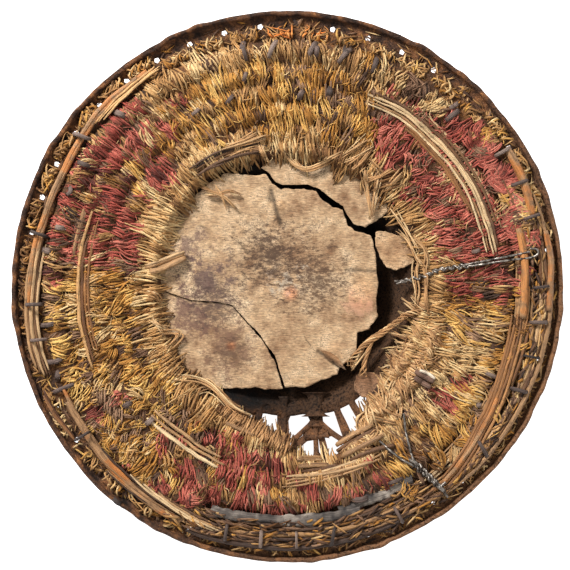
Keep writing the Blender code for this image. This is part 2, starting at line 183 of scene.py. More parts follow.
def tubes(paths, width, thick, sides):
    """Closed tubes along many paths at once. paths is (count, steps, 3); width and thick are
    (count, steps). Each ring is an ellipse, width across the path and level, thick at right angles to
    that, and each end is closed to a point in its middle. Returns points, quads, tris and corner uv."""
    count, steps, _ = paths.shape
    along = np.gradient(paths, axis=1)
    along /= np.linalg.norm(along, axis=2, keepdims=True) + 1e-12
    across = np.cross(along, np.broadcast_to(np.array([0.0, 0.0, 1.0]), along.shape))
    across /= np.linalg.norm(across, axis=2, keepdims=True) + 1e-12
    above = np.cross(across, along)
    turn = (np.arange(sides) + 0.5) * 2 * np.pi / sides
    wide = (width[..., None] / 2 * np.cos(turn))[..., None]
    high = (thick[..., None] / 2 * np.sin(turn))[..., None]
    rings = paths[:, :, None] + across[:, :, None] * wide + above[:, :, None] * high
    ends = paths[:, [0, -1]]
    points = np.concatenate([rings.reshape(count, -1, 3), ends], axis=1).reshape(-1, 3)

    first = (np.arange(count) * (steps * sides + 2))[:, None, None]
    step, side = np.arange(steps - 1)[None, :, None], np.arange(sides)[None, None, :]
    here, beside = first + step * sides + side, first + step * sides + (side + 1) % sides
    quads = np.stack([here, here + sides, beside + sides, beside], axis=-1).reshape(-1, 4)
    edge, next_edge = first[:, 0] + side[0], first[:, 0] + (side[0] + 1) % sides
    last = (steps - 1) * sides
    start_point = np.broadcast_to(first[:, 0] + steps * sides, edge.shape)
    start = np.stack([start_point, edge, next_edge], axis=-1)
    end = np.stack([start_point + 1, next_edge + last, edge + last], axis=-1)
    tris = np.concatenate([start.reshape(-1, 3), end.reshape(-1, 3)])

    gone = np.linalg.norm(np.diff(paths, axis=1), axis=2)
    gone = np.concatenate([np.zeros((count, 1)), np.cumsum(gone, axis=1)], axis=1)
    gone = gone + np.arange(count)[:, None] * 0.37
    around = np.pi * width.mean(axis=1, keepdims=True) * np.arange(sides + 1) / sides
    u0 = np.broadcast_to(gone[:, :-1, None], (count, steps - 1, sides))
    u1 = np.broadcast_to(gone[:, 1:, None], (count, steps - 1, sides))
    v0 = np.broadcast_to(around[:, None, :-1], (count, steps - 1, sides))
    v1 = np.broadcast_to(around[:, None, 1:], (count, steps - 1, sides))
    quad_uv = np.stack([np.stack(pair, -1) for pair in ((u0, v0), (u1, v0), (u1, v1), (u0, v1))], axis=3)
    cap_uv = []
    for column in (0, -1):
        u = np.broadcast_to(gone[:, column, None], (count, sides))
        cap_uv.append(np.stack([np.stack([u, around[:, :-1]], -1)] * 3, axis=2))
    uv = np.concatenate([quad_uv.reshape(-1, 2)] + [cap.reshape(-1, 2) for cap in cap_uv])
    return points, quads, tris, uv


def polar(radius, degrees, height):
    """Points from distance to the axis, angle and height, as one array with three columns last."""
    angle = np.radians(degrees)
    radius, angle, height = np.broadcast_arrays(radius, angle, height)
    return np.stack([radius * np.cos(angle), radius * np.sin(angle), height], axis=-1)


def wobble(degrees, cell, seed, row=0.0):
    """Smooth noise from -1 to 1 along a line of angles, read on one row of the lattice."""
    return ripple(degrees, degrees * 0 + row, cell, seed)


BOSS_EDGE = 0.073
BACK_AT_BOSS = 0.0378
BACK_SLOPE = 0.1304


def iron_back(radius):
    """Height of the iron's back face outside the boss, a shallow cone."""
    return BACK_AT_BOSS + BACK_SLOPE * (radius - BOSS_EDGE)


def blend_colours(tree, factor, first, second):
    """A mix of two colours by a factor, as a new node's output."""
    made = tree.nodes.new("ShaderNodeMix")
    made.data_type = "RGBA"
    for number, value in ((0, factor), (6, first), (7, second)):
        if isinstance(value, bpy.types.NodeSocket):
            tree.links.new(value, made.inputs[number])
        else:
            made.inputs[number].default_value = value
    return made.outputs[2]


def noise(tree, where, scale, detail, roughness=0.5):
    """A noise texture read at a place: its value, from 0 to 1."""
    inputs = {"Vector": where, "Scale": scale, "Detail": detail, "Roughness": roughness}
    return add_node(tree, "ShaderNodeTexNoise", inputs).outputs["Fac"]


def ranged(tree, value, from_low, from_high, to_low=0.0, to_high=1.0):
    """A value moved straight from one range to another, and held at its ends."""
    inputs = {"Value": value, "From Min": from_low, "From Max": from_high, "To Min": to_low,
              "To Max": to_high}
    return add_node(tree, "ShaderNodeMapRange", inputs).outputs["Result"]


def ramp(tree, value, lowest, *between, highest):
    """A colour read along stops. Each stop is a position and a colour as seen on a screen."""
    made = add_node(tree, "ShaderNodeValToRGB", {"Fac": value})
    stops = made.color_ramp.elements
    for stop, (position, colour) in zip(stops, (lowest, highest)):
        stop.position, stop.color = position, paint(*colour)
    for position, colour in between:
        stops.new(position).color = paint(*colour)
    return made.outputs["Color"]


def joined_values(tree, operation, first, second):
    """Two values added or multiplied."""
    return add_node(tree, "ShaderNodeMath", {0: first, 1: second}, operation=operation).outputs["Value"]


def tinted(tree, colour, by):
    """A colour multiplied by a value or by another colour."""
    return add_node(tree, "ShaderNodeVectorMath", {0: colour, 1: by}, operation="MULTIPLY").outputs["Vector"]


def stretched(tree, spot, scale, turned=(0.0, 0.0, 0.0)):
    """A place with its axes scaled and turned, so that a pattern read there is drawn out."""
    inputs = {"Vector": spot, "Scale": scale, "Rotation": turned}
    return add_node(tree, "ShaderNodeMapping", inputs).outputs["Vector"]


def raise_bumps(tree, shader, height, strength, distance):
    """Bumps of a height on a finish."""
    bumps = add_node(tree, "ShaderNodeBump", {"Height": height, "Strength": strength, "Distance": distance})
    tree.links.new(bumps.outputs["Normal"], shader.inputs["Normal"])


PAINTED_SHADE_RADII = (0.074, 0.092)
LOWER_RIGHT = (4.9, -3.6, 0.0)
iron_finish, tree, shader = new_finish("rusted iron", 0.6, 0.15)
shader.inputs["Specular IOR Level"].default_value = 0.25
spot = add_node(tree, "ShaderNodeTexCoord").outputs["Object"]
broad = noise(tree, spot, 110.0, 9.0, 0.7)
fine = noise(tree, spot, 700.0, 5.0, 0.7)
tone = ramp(tree, broad, (0.36, (36, 25, 19)), (0.47, (78, 54, 40)), (0.57, (126, 84, 54)),
            highest=(0.68, (186, 128, 80)))
grit = ranged(tree, fine, 0.3, 0.7, 0.45, 1.4)
flat_spot = stretched(tree, spot, (1.0, 1.0, 0.0))
reach = add_node(tree, "ShaderNodeVectorMath", {0: flat_spot}, operation="LENGTH").outputs["Value"]
# Painted shade under the disc: the rust's colour is multiplied by 0.07 within 74 mm of the axis, rising to
# full at 92 mm.
painted_shade = ranged(tree, reach, *PAINTED_SHADE_RADII, 0.07, 1.0)
tint = tinted(tree, tone, joined_values(tree, "MULTIPLY", grit, painted_shade))
aside = add_node(tree, "ShaderNodeVectorMath", {0: flat_spot, 1: LOWER_RIGHT}, operation="DOT_PRODUCT")
crusted = ranged(tree, aside.outputs["Value"], 0.15, 0.85, 0.0, 0.8)
crust = joined_values(tree, "MULTIPLY", crusted, ranged(tree, fine, 0.38, 0.52))
tree.links.new(blend_colours(tree, crust, tint, paint(150, 108, 76)), shader.inputs["Base Color"])
tree.links.new(ranged(tree, broad, 0.35, 0.7, 0.62, 0.9), shader.inputs["Roughness"])
raise_bumps(tree, shader, joined_values(tree, "ADD", broad, fine), 0.8, 0.0016)

SAME_PLACE = 0.00001
SHARP_DEGREES = 38
face_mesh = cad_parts["iron_face"].data.copy()
joined = bmesh.new()
joined.from_mesh(face_mesh)
bmesh.ops.remove_doubles(joined, verts=joined.verts, dist=SAME_PLACE)
joined.to_mesh(face_mesh)
joined.free()
face_mesh.shade_smooth()
face_mesh.set_sharp_from_angle(angle=math.radians(SHARP_DEGREES))
iron = bpy.data.objects.new("forged_face", face_mesh)
bpy.context.scene.collection.objects.link(iron)
place(iron, iron_finish, "iron", "iron_face")

ROLL_RADIUS = 0.1637
ROLL_HEIGHT = 0.0522
ROLL_WIDTH = 0.0030
round_angles = np.linspace(0.0, 360.0, 721)
waver = wobble(round_angles, 5.0, 3, 0.5) + 0.6 * wobble(round_angles, 2.1, 4)
waver[-1] = waver[0]
roll_path = polar(ROLL_RADIUS + 0.0006 * waver, round_angles, ROLL_HEIGHT + 0.0005 * waver)[None]
roll_width = ROLL_WIDTH + 0.0005 * wobble(round_angles, 3.3, 5)[None]
points, quads, tris, uv = tubes(roll_path, roll_width, roll_width * 1.15, 8)
place(put_mesh("rim_roll", points, quads, tris, uv), iron_finish, "iron")


# The body: coils of straw that lie on the iron's back, one round another. The straw is brown with age
# and shows between the strands of bast; its tone is also painted darker, as the shade in the gaps between
# the strands. Outside the coils a thin mat of dirt and fibre lies on the band.

COIL_PITCH = 0.0117
BODY_INNER = 0.0755
DISC_TOP = 0.0418
DISC_RADIUS = 0.0785
COILS_END = 0.1345
OUTER_COIL_END = 0.1455
MAT_END = 0.1548
OUTER_COIL_FROM = 38.0
OUTER_COIL_TO = -111.0
inner_edge_angles = (-180, -150, -130, -118, -103, -97, -90, -84, -78, -73, -66, -60, -55, -40, -20, 0, 20,
                     45, 90,
                     97, 103, 118, 131, 137, 180)
inner_edge_radii = (
    0.0765, 0.0775, 0.0800, 0.0815, 0.0838, 0.0870, 0.0950, 0.1030, 0.1065, 0.1055, 0.0985, 0.0920, 0.0830,
    0.0785,
    0.0785, 0.0810, 0.0785, 0.0780, 0.0775, 0.0775, 0.0790, 0.0810, 0.0822, 0.0785, 0.0765,
)


def inner_edge(degrees):
    """Where the body ends inside: read along a list of angles and radii, broken away at the bottom."""
    turned = (np.asarray(degrees) + 180.0) % 360.0 - 180.0
    return np.interp(turned, inner_edge_angles, inner_edge_radii)


def has_outer_coil(degrees):
    """Where the outermost coil is whole: from the upper right over the top and the left to the bottom."""
    return (degrees > OUTER_COIL_FROM) | (degrees < OUTER_COIL_TO)


def body_height(x, y):
    """Height of the straw coils: the cone of the iron's back, plus a row of round ridges one coil wide,
    plus a slow unevenness. The outermost coil stands a millimetre higher. Outside the last coil it drops
    to the thin mat, and inside the first one it slopes down to the disc."""
    radius, degrees = np.hypot(x, y), np.degrees(np.arctan2(y, x))
    across = (radius - BODY_INNER) / COIL_PITCH
    ridge = np.abs(np.sin(np.pi * across)) ** 0.7
    last = np.where(has_outer_coil(degrees), OUTER_COIL_END, COILS_END)
    raised = np.where(radius > COILS_END, 0.0068, 0.0058) + 0.0032 * ridge
    fall = np.clip((radius - last) / 0.0012, 0.0, 1.0)
    thick = raised * (1 - fall) + 0.0030 * fall
    slope = np.clip((radius - inner_edge(degrees) + 0.001) / 0.004, 0.0, 1.0)
    height = iron_back(radius) + thick + 0.0009 * ripple(x, y, 0.017, 8) + 0.0006 * ripple(x, y, 0.006, 9)
    floor_height = np.maximum(np.where(radius < DISC_RADIUS, DISC_TOP, 0.0), iron_back(radius))
    return height * slope + (floor_height + 0.0006) * (1 - slope)


# Aged straw whose dark tone stands partly for painted shade in the gaps between the bast strands.
straw_finish, tree, shader = new_finish("aged straw with painted shade", 0.9)
spot = add_node(tree, "ShaderNodeTexCoord").outputs["Object"]
broad = noise(tree, spot, 90.0, 8.0, 0.7)
fine = noise(tree, spot, 900.0, 4.0)
tone = ramp(tree, broad, (0.32, (40, 24, 14)), (0.50, (88, 56, 30)), highest=(0.70, (156, 104, 56)))
tree.links.new(tinted(tree, tone, ranged(tree, fine, 0.3, 0.7, 0.5, 1.4)), shader.inputs["Base Color"])
raise_bumps(tree, shader, joined_values(tree, "ADD", broad, fine), 0.9, 0.0015)

rows, columns = 54, 420
share = np.linspace(0.0, 1.0, rows)[:, None]
degrees = (np.arange(columns) * 360.0 / columns)[None, :]
start = inner_edge(degrees)
radius = start + (MAT_END - start) * share
x, y = radius * np.cos(np.radians(degrees)), radius * np.sin(np.radians(degrees))
top = np.stack([x, y, body_height(x, y)], axis=-1)
underside = np.stack([x, y, iron_back(radius) + 0.0002], axis=-1)[[-1, 0]]
grid = np.concatenate([top, underside])
ring_count = rows + 2
row, column = np.arange(ring_count)[:, None], np.arange(columns)[None, :]
here, beside = row * columns + column, row * columns + (column + 1) % columns
above = (row + 1) % ring_count * columns
quads = np.stack([here, above + column, above + (column + 1) % columns, beside], axis=-1).reshape(-1, 4)
straw_coils = put_mesh("straw_coils", grid.reshape(-1, 3), quads)
place(straw_coils, straw_finish, "straw")


# The binding: split bast wound over each coil, dyed red and gold by turns, three fields of each, and
# left undyed on the innermost coil. It is dry, broken and frayed, so its strands lie in small bundles
# at every slant, over one another, and fine hairs stand off them.

bast_shades = {
    "red": ((86, 40, 30), (172, 76, 60), (210, 122, 100)),
    "gold": ((102, 62, 22), (194, 132, 54), (238, 190, 108)),
    "plain": ((120, 80, 42), (198, 147, 88), (238, 202, 144)),
    "grimy": ((54, 36, 26), (112, 78, 54), (160, 122, 92)),
}


def bast_colour(kind, shade):
    """A colour of that dye: shade runs from 0, dark, over 0.5 to 1, faded, straight from one to the next."""
    table = np.array([paint(*colour)[:3] for colour in bast_shades[kind]])
    return np.stack([np.interp(shade, (0.0, 0.5, 1.0), table[:, band]) for band in range(3)], axis=-1)


RED, GOLD, PLAIN, GRIMY = range(4)
RED_BITS = ((107.1, -57.9), (97.5, -71.1), (89.7, -62.7), (100.5, -1.5), (94.5, -68.7), (-102.9, -66.3),
            (-115.5, -75.9))
RED_BIT_RADIUS = 0.0046


def dye_kind(x, y, chance):
    """The dye at each point. The fields are wedges of about 60 degrees with ragged borders, inside them
    a few strands of the other colours lie, the innermost coil is undyed, and so is the outermost one at
    the top. A few red bits lie in the gold, at points in millimetres."""
    radius = np.hypot(x, y)
    degrees = np.degrees(np.arctan2(y, x)) + 8.0 * ripple(x, y, 0.014, 21) + 5.0 * ripple(x, y, 0.004, 22)
    red = ((degrees > -2) & (degrees < 60)) | ((degrees > 127) & (degrees < 177))
    red |= (degrees > -128) & (degrees < -64)
    worn = ripple(x, y, 0.013, 23) + 0.5 * ripple(x, y, 0.005, 24)
    kind = np.where(red, RED, GOLD)
    kind = np.where(red & (worn > 0.48), PLAIN, kind)
    kind = np.where(red & (worn > 0.74), GOLD, kind)
    torn_red = red & (degrees < -64) & (ripple(x, y, 0.009, 28) > 0.22)
    kind = np.where(torn_red, np.where(ripple(x, y, 0.006, 29) > 0.1, GOLD, PLAIN), kind)
    grey_patch = (degrees < -118) & (degrees > -158) & (np.abs(radius - 0.118) < 0.016)
    kind = np.where(grey_patch & (ripple(x, y, 0.007, 27) > 0.35), GRIMY, kind)
    kind = np.where(~red & (worn > 0.55), PLAIN, kind)
    at_top = (degrees > 48) & (degrees < 132) & (radius > 0.133)
    kind = np.where(at_top & (chance < 0.75), PLAIN, kind)
    kind = np.where((chance > 0.90) | (worn < -0.78), GRIMY, kind)
    kind = np.where((chance > 0.80) & (chance < 0.90), PLAIN, kind)
    inside = inner_edge(np.degrees(np.arctan2(y, x))) + 0.013 + 0.006 * ripple(x, y, 0.009, 25)
    kind = np.where((radius < inside) & (chance < 0.93), PLAIN, kind)
    lower_right = (degrees > -62) & (degrees < -25) & (radius < 0.118 + 0.006 * ripple(x, y, 0.010, 26))
    kind = np.where(lower_right & (chance < 0.8), PLAIN, kind)
    for bit_x, bit_y in RED_BITS:
        near = np.hypot(x - bit_x / 1000, y - bit_y / 1000) < RED_BIT_RADIUS
        kind = np.where(near & (chance > 0.25), RED, kind)
    return kind


def laid_strands(x, y, length, lean, bend, lift, steps):
    """Paths of strands on the body: each is centred on its point and lies along the radius turned by
    lean, bowed sideways by bend as a parabola, raised in its middle by lift, its ends pushed in."""
    share = np.linspace(-1.0, 1.0, steps)[None, :]
    turned = np.arctan2(y, x)[:, None] + lean[:, None]
    ahead = share * length[:, None] / 2
    aside = bend[:, None] * (1 - share**2)
    px = x[:, None] + ahead * np.cos(turned) - aside * np.sin(turned)
    py = y[:, None] + ahead * np.sin(turned) + aside * np.cos(turned)
    rise = lift[:, None] * (1 - share**2) - 0.0016 * np.abs(share) ** 5
    return np.stack([px, py, body_height(px, py) + rise], axis=-1)


def laid_bundles(rng, x, y, fibres, length, lean, pitch, bend, lift, steps):
    """Paths of strands in bundles: each bundle is centred on its point, and its strands lie side by side,
    a pitch apart, half as far at their ends, a little out of line, nearly of one length and slant."""
    side = np.arange(fibres) - (fibres - 1) / 2
    odd = rng.normal(size=(6, len(x), fibres))
    turned = (np.arctan2(y, x) + lean)[:, None]
    shift = pitch * (side + 0.35 * odd[0])
    slide = 0.10 * length[:, None] * odd[1]
    px = x[:, None] - shift / 2 * np.sin(turned) + slide * np.cos(turned)
    py = y[:, None] + shift / 2 * np.cos(turned) + slide * np.sin(turned)
    long = length[:, None] * np.clip(1 + 0.16 * odd[2], 0.5, 1.4)
    slant = lean[:, None] + np.radians(4.0) * odd[3]
    bow = bend[:, None] + shift / 2 + 0.0003 * odd[4]
    rise = lift[:, None] * (1 - (side / fibres) ** 2) + 0.0003 * odd[5]
    return laid_strands(px.ravel(), py.ravel(), long.ravel(), slant.ravel(), bow.ravel(), rise.ravel(), steps)


STREAK_LENGTH = 24.0


def fibre_finish(name, roughness, streaks, depth, dirt, dirt_from, faded=None):
    """Fibre whose colour is the strand's own dye, streaked lengthways on the strand's uv map, with dirt in
    patches. streaks is how many streaks a metre of width has, depth is the height of the streaks, and
    faded, where it is given, is the colour of long patches that have lost their skin."""
    made, tree, shader = new_finish(name, roughness)
    dye = add_node(tree, "ShaderNodeAttribute", attribute_name="dye").outputs["Color"]
    spot = add_node(tree, "ShaderNodeTexCoord").outputs["Object"]
    along = add_node(tree, "ShaderNodeUVMap", uv_map="strand").outputs["UV"]
    streak = noise(tree, stretched(tree, along, (streaks / STREAK_LENGTH, streaks, 1.0)), 1.0, 4.0, 0.7)
    grime = noise(tree, spot, 150.0, 8.0, 0.75)
    shade = ranged(tree, streak, 0.34, 0.66, 0.42, 1.45)
    if faded:
        bare = ranged(tree, noise(tree, spot, 75.0, 4.0, 0.6), 0.44, 0.54, 0.0, 0.85)
        dye = blend_colours(tree, bare, dye, faded)
    dirty = ranged(tree, grime, dirt_from, dirt_from + 0.16, 0.0, 0.8)
    colour = blend_colours(tree, dirty, tinted(tree, dye, shade), dirt)
    tree.links.new(colour, shader.inputs["Base Color"])
    raise_bumps(tree, shader, streak, 0.8, depth)
    return made


bast_finish = fibre_finish("dyed bast", 0.85, 2600.0, 0.0006, paint(82, 56, 34), 0.53)


def put_strands(name, paths, width, thick, sides, colour, finish, slot, nodes=(), tip=0.6, painted_end_shade=0.45):
    """Strands as one piece. Each keeps its width almost to its ends, where it is tip times as wide, by the
    fourth power of the share, and its colour darkens towards both ends by the last argument, by the square
    of the share: a painted shade where the ends dip down, below the lit middle."""
    share = np.linspace(-1.0, 1.0, paths.shape[1])
    taper = 1 - (1 - tip) * share**4
    points, quads, tris, uv = tubes(paths, width[:, None] * taper, thick[:, None] * taper, sides)
    # Painted shade: each strand's colour darkens towards both ends, which dip down under the lit middle.
    painted_shade_along = 1.0 - painted_end_shade * share**2
    body = (colour[:, None, None, :] * painted_shade_along[None, :, None, None]).repeat(sides, axis=2)
    ends = (colour[:, None, :] * painted_shade_along[[0, -1]][None, :, None])
    dye = np.concatenate([body.reshape(len(colour), -1, 3), ends], axis=1).reshape(-1, 3)
    piece = put_mesh(name, points, quads, tris, uv, dye)
    place(piece, finish, slot, *nodes)
    return piece


def put_bast(name, paths, width, flatness, colour, sides=4, nodes=()):
    """Strands of bast as one piece, flatness times as thick as they are wide."""
    put_strands(name, paths, width, flatness * width, sides, colour, bast_finish, "bast", nodes)


STRANDS_FROM = 0.072
STRANDS_TO = 0.1462
STRANDS_TO_BROKEN = 0.1385
WOUND_TO = 0.147


def on_body(rng, count):
    """Random points on the body, evenly by area, left out where it is broken or has no outermost coil."""
    radius = np.sqrt(rng.uniform(STRANDS_FROM**2, STRANDS_TO**2, count))
    degrees = rng.uniform(-180.0, 180.0, count)
    last = np.where(has_outer_coil(degrees), STRANDS_TO, STRANDS_TO_BROKEN)
    kept = (radius > inner_edge(degrees) + 0.001) & (radius < last)
    radius, angle = radius[kept], np.radians(degrees[kept])
    return radius * np.cos(angle), radius * np.sin(angle)


def matted(x, y):
    """How far the bast is a felt of short tangled ends there, from 0 to 1: at the lower left and the
    upper right."""
    degrees = np.degrees(np.arctan2(y, x))
    field = np.exp(-(((degrees + 140) / 32) ** 4)) + 0.7 * np.exp(-(((degrees - 42) / 26) ** 4))
    return field * np.clip((np.hypot(x, y) - 0.092) / 0.010, 0, 1)


def strand_colours(rng, x, y, kind, fibres=1, brighter=0.0):
    """A colour for each strand: its bundle's dye, in a shade that drifts over the body and differs by
    bundle and by strand. It is lighter at the left and the lower right, and darker at the upper left."""
    drift = 0.22 * ripple(x, y, 0.009, 31) + 0.18 * ripple(x, y, 0.022, 32) + 0.20 * rng.normal(size=len(x))
    shade = 0.50 + brighter + drift.repeat(fibres) + 0.13 * rng.normal(size=len(x) * fibres)
    degrees = np.degrees(np.arctan2(y, x))
    light_side = np.exp(-(((degrees + 28) / 28) ** 4)) + np.exp(-(((np.abs(degrees) - 190) / 26) ** 4))
    dark_side = np.exp(-(((degrees - 150) / 15) ** 4))
    shade = shade + (0.10 * matted(x, y) + 0.10 * light_side - 0.08 * dark_side).repeat(fibres)
    kind = kind.repeat(fibres)
    colour = np.zeros((len(kind), 3))
    for number, name in ((RED, "red"), (GOLD, "gold"), (PLAIN, "plain"), (GRIMY, "grimy")):
        chosen = kind == number
        colour[chosen] = bast_colour(name, shade[chosen])
    return colour


COILS = 6
WRAP_FIBRES = 5
WRAP_WIDTH = 0.0064
rng = np.random.default_rng(7)
wound = []
for coil in range(COILS):
    middle = BODY_INNER + COIL_PITCH * (coil + 0.5)
    count = int(2 * math.pi * middle / WRAP_WIDTH)
    degrees = (np.arange(count) + 0.6 * rng.uniform(-0.5, 0.5, count)) * 360.0 / count - 180.0
    wound.append(np.stack([degrees, middle + rng.normal(0, 0.0012, count)], axis=-1))
degrees, radius = np.concatenate(wound).T
last = np.where(has_outer_coil(degrees), WOUND_TO, COILS_END)
kept = (radius > inner_edge(degrees) + 0.003) & (radius < last)
degrees, radius = degrees[kept], radius[kept]
x, y, _ = polar(radius, degrees, 0.0).T
count = len(x)
lean = np.radians(6.0 + 8.0 * rng.normal(size=count) * (1 + matted(x, y)) + 15.0 * ripple(x, y, 0.030, 33))
paths = laid_bundles(rng, x, y, WRAP_FIBRES, rng.uniform(0.012, 0.017, count), lean, 0.00135,
                     rng.normal(0, 0.0006, count), rng.uniform(0.0003, 0.0011, count), 5)
width = rng.uniform(0.0012, 0.0018, len(paths))
colour = strand_colours(rng, x, y, dye_kind(x, y, rng.uniform(size=count)), WRAP_FIBRES, -0.10)
put_bast("wound_bast", paths, width, 0.6, colour, 4, ("wicker_body", "outer_coil"))

LOOSE_FIBRES = 5
LOOSE_TRIES = 1330
x, y = on_body(rng, LOOSE_TRIES)
count = len(x)
kind = dye_kind(x, y, rng.uniform(size=count))
mat = matted(x, y)
lean = np.radians(5.0 + 12.0 * rng.normal(size=count) * (1 + 2.2 * mat) + 18.0 * ripple(x, y, 0.022, 35))
length = rng.uniform(0.008, 0.022, count) * (1 - 0.42 * mat)
bend = 0.08 * length * rng.normal(size=count) * (1 + 1.6 * mat)
paths = laid_bundles(rng, x, y, LOOSE_FIBRES, length, lean, 0.00112, bend,
                     rng.uniform(0.0008, 0.0028, count), 6)
width = rng.uniform(0.0007, 0.0016, len(paths))
colour = strand_colours(rng, x, y, kind, LOOSE_FIBRES, 0.08)
for number, name in ((RED, "red_bast"), (GOLD, "gold_bast"), (PLAIN, "undyed_bast"), (GRIMY, "grimy_bast")):
    chosen = kind.repeat(LOOSE_FIBRES) == number
    put_bast(name, paths[chosen], width[chosen], 0.6, colour[chosen])

FRAYED_TRIES = 2800
x, y = on_body(rng, FRAYED_TRIES)
count = len(x)
kind = dye_kind(x, y, rng.uniform(size=count) * 0.93)
lean = np.radians(40.0 * rng.normal(size=count))
length = rng.uniform(0.004, 0.011, count)
paths = laid_strands(x, y, length, lean, 0.25 * length * rng.normal(size=count),
                     rng.uniform(0.0012, 0.0034, count), 5)
width = rng.uniform(0.0003, 0.0007, count)
colour = strand_colours(rng, x, y, kind, 1, 0.14)
put_bast("frayed_bast", paths, width, 1.0, colour, 3)

RING_FIBRES = 6
degrees = np.arange(-180.0, 180.0, 3.4)
degrees = degrees + rng.uniform(-1.0, 1.0, len(degrees))
at_top = np.exp(-(((degrees - 96.0) / 40.0) ** 4))
kept = rng.uniform(size=len(degrees)) > 0.55 * at_top
degrees, at_top = degrees[kept], at_top[kept]
length = rng.uniform(0.013, 0.022, len(degrees))
radius = inner_edge(degrees) + 0.46 * length + rng.normal(0, 0.0008, len(degrees))
x, y, _ = polar(radius, degrees, 0.0).T
count = len(x)
lean = np.radians(9.0 * rng.normal(size=count) + 16.0 * ripple(x, y, 0.020, 36))
paths = laid_bundles(rng, x, y, RING_FIBRES, length, lean, 0.00105, 0.05 * length * rng.normal(size=count),
                     rng.uniform(0.0022, 0.0034, count), 9)
width = rng.uniform(0.0008, 0.0015, len(paths))
colour = strand_colours(rng, x, y, np.full(count, PLAIN), RING_FIBRES,
                        (0.04 - 0.24 * at_top).repeat(RING_FIBRES))
put_bast("inner_binding", paths, width, 0.7, colour, 5)


# The disc over the boss's hollow: rawhide that dried hard, shrank and broke into four shards along
# jagged cracks. It is pale and finely grained, with grey-brown stains and dark specks, and its torn
# edges show layers. A skin of it has lifted at the edge, and a dirty scrap lies on the openwork below.

hide_finish, tree, shader = new_finish("dried rawhide", 0.8)
spot = add_node(tree, "ShaderNodeTexCoord").outputs["Object"]
dye = add_node(tree, "ShaderNodeAttribute", attribute_name="dye").outputs["Color"]
broad = noise(tree, spot, 60.0, 9.0, 0.65)
tone = ramp(tree, broad, (0.34, (144, 106, 73)), (0.50, (200, 164, 124)), highest=(0.66, (236, 204, 164)))
grain = noise(tree, stretched(tree, spot, (330.0, 1500.0, 800.0)), 1.0, 6.0, 0.75)
stained = tinted(tree, tone, ranged(tree, grain, 0.34, 0.66, 0.42, 1.36))
mottle = noise(tree, spot, 150.0, 9.0, 0.78)
dashes = noise(tree, stretched(tree, spot, (260.0, 520.0, 400.0), (0.0, 0.0, 0.9)), 1.0, 9.0, 0.85)
for pattern, place_x, place_y, reach, most, stain in (
    (mottle, -0.060, 0.026, 0.028, 0.75, paint(112, 84, 76)),
    (mottle, -0.048, 0.004, 0.038, 0.85, paint(96, 72, 68)),
    (mottle, -0.060, -0.018, 0.038, 0.80, paint(112, 80, 68)),
    (mottle, -0.036, -0.036, 0.040, 0.75, paint(120, 86, 66)),
    (mottle, 0.004, 0.020, 0.040, 0.55, paint(136, 98, 66)),
    (mottle, 0.042, -0.012, 0.020, 0.60, paint(210, 160, 128)),
    (mottle, 0.000, 0.004, 0.022, 0.60, paint(206, 192, 170)),
    (dashes, -0.010, 0.018, 0.054, 0.90, paint(70, 48, 34)),
    (dashes, 0.018, 0.004, 0.050, 0.85, paint(80, 54, 36)),
    (dashes, -0.044, -0.010, 0.042, 0.80, paint(78, 58, 50)),
    (dashes, -0.034, -0.040, 0.030, 0.75, paint(92, 66, 48)),
):
    distance = add_node(tree, "ShaderNodeVectorMath", {0: spot, 1: (place_x, place_y, DISC_TOP)},
                        operation="DISTANCE")
    near = ranged(tree, distance.outputs["Value"], 0.0, reach, 0.14, -0.14)
    mask = ranged(tree, joined_values(tree, "ADD", near, pattern), 0.52, 0.62, 0.0, most)
    stained = blend_colours(tree, mask, stained, stain)
pits = noise(tree, spot, 1300.0, 2.0)
pit_mask = ranged(tree, joined_values(tree, "ADD", pits, broad), 1.15, 1.23, 0.0, 0.7)
stained = blend_colours(tree, pit_mask, stained, paint(84, 58, 40))
tree.links.new(tinted(tree, stained, dye), shader.inputs["Base Color"])
raise_bumps(tree, shader, joined_values(tree, "ADD", grain, mottle), 0.75, 0.0009)

# Cuts in the hide: a start and an end in millimetres, a width in millimetres and a depth in metres. Each is
# darkened as a painted shade in its groove, and the one from (19.0, -39.6) is the painted shadow of the torn
# flap.
hide_cuts = (
    (-9.6, 58.0, -4.6, 38.0, 1.5, 0.0013), (56.0, 9.0, 36.0, 9.8, 0.9, 0.0009),
    (19.0, -39.6, 33.6, -49.4, 1.3, 0.0012),
    (-3.5, 0.2, 1.5, 0.9, 0.5, 0.0005), (-10.2, 52.2, -10.8, 52.8, 1.3, 0.0012),
    (-54.0, 37.0, -48.0, 35.0, 0.5, 0.0004), (-30.0, 28.0, -24.0, 20.0, 0.6, 0.0005),
    (10.0, -30.0, 14.0, -36.0, 0.4, 0.0004),
)
hide_bumps = ((2.0, -4.2, 4.4, 0.0010, (1.20, 0.84, 0.74)), (27.0, -41.0, 6.0, 0.0008, (1.0, 0.95, 0.9)),
              (-14.0, 0.6, 6.5, 0.0003, (1.16, 1.17, 1.18)), (45.0, -6.0, 9.0, 0.0004, (1.10, 0.98, 0.92)),
              (-5.0, 49.0, 3.6, 0.0008, (0.94, 0.86, 0.78)), (-34.0, -36.0, 3.0, 0.0003, (1.10, 0.74, 0.56)),
              (48.0, 3.0, 6.0, 0.0009, (1.06, 1.04, 1.0)))


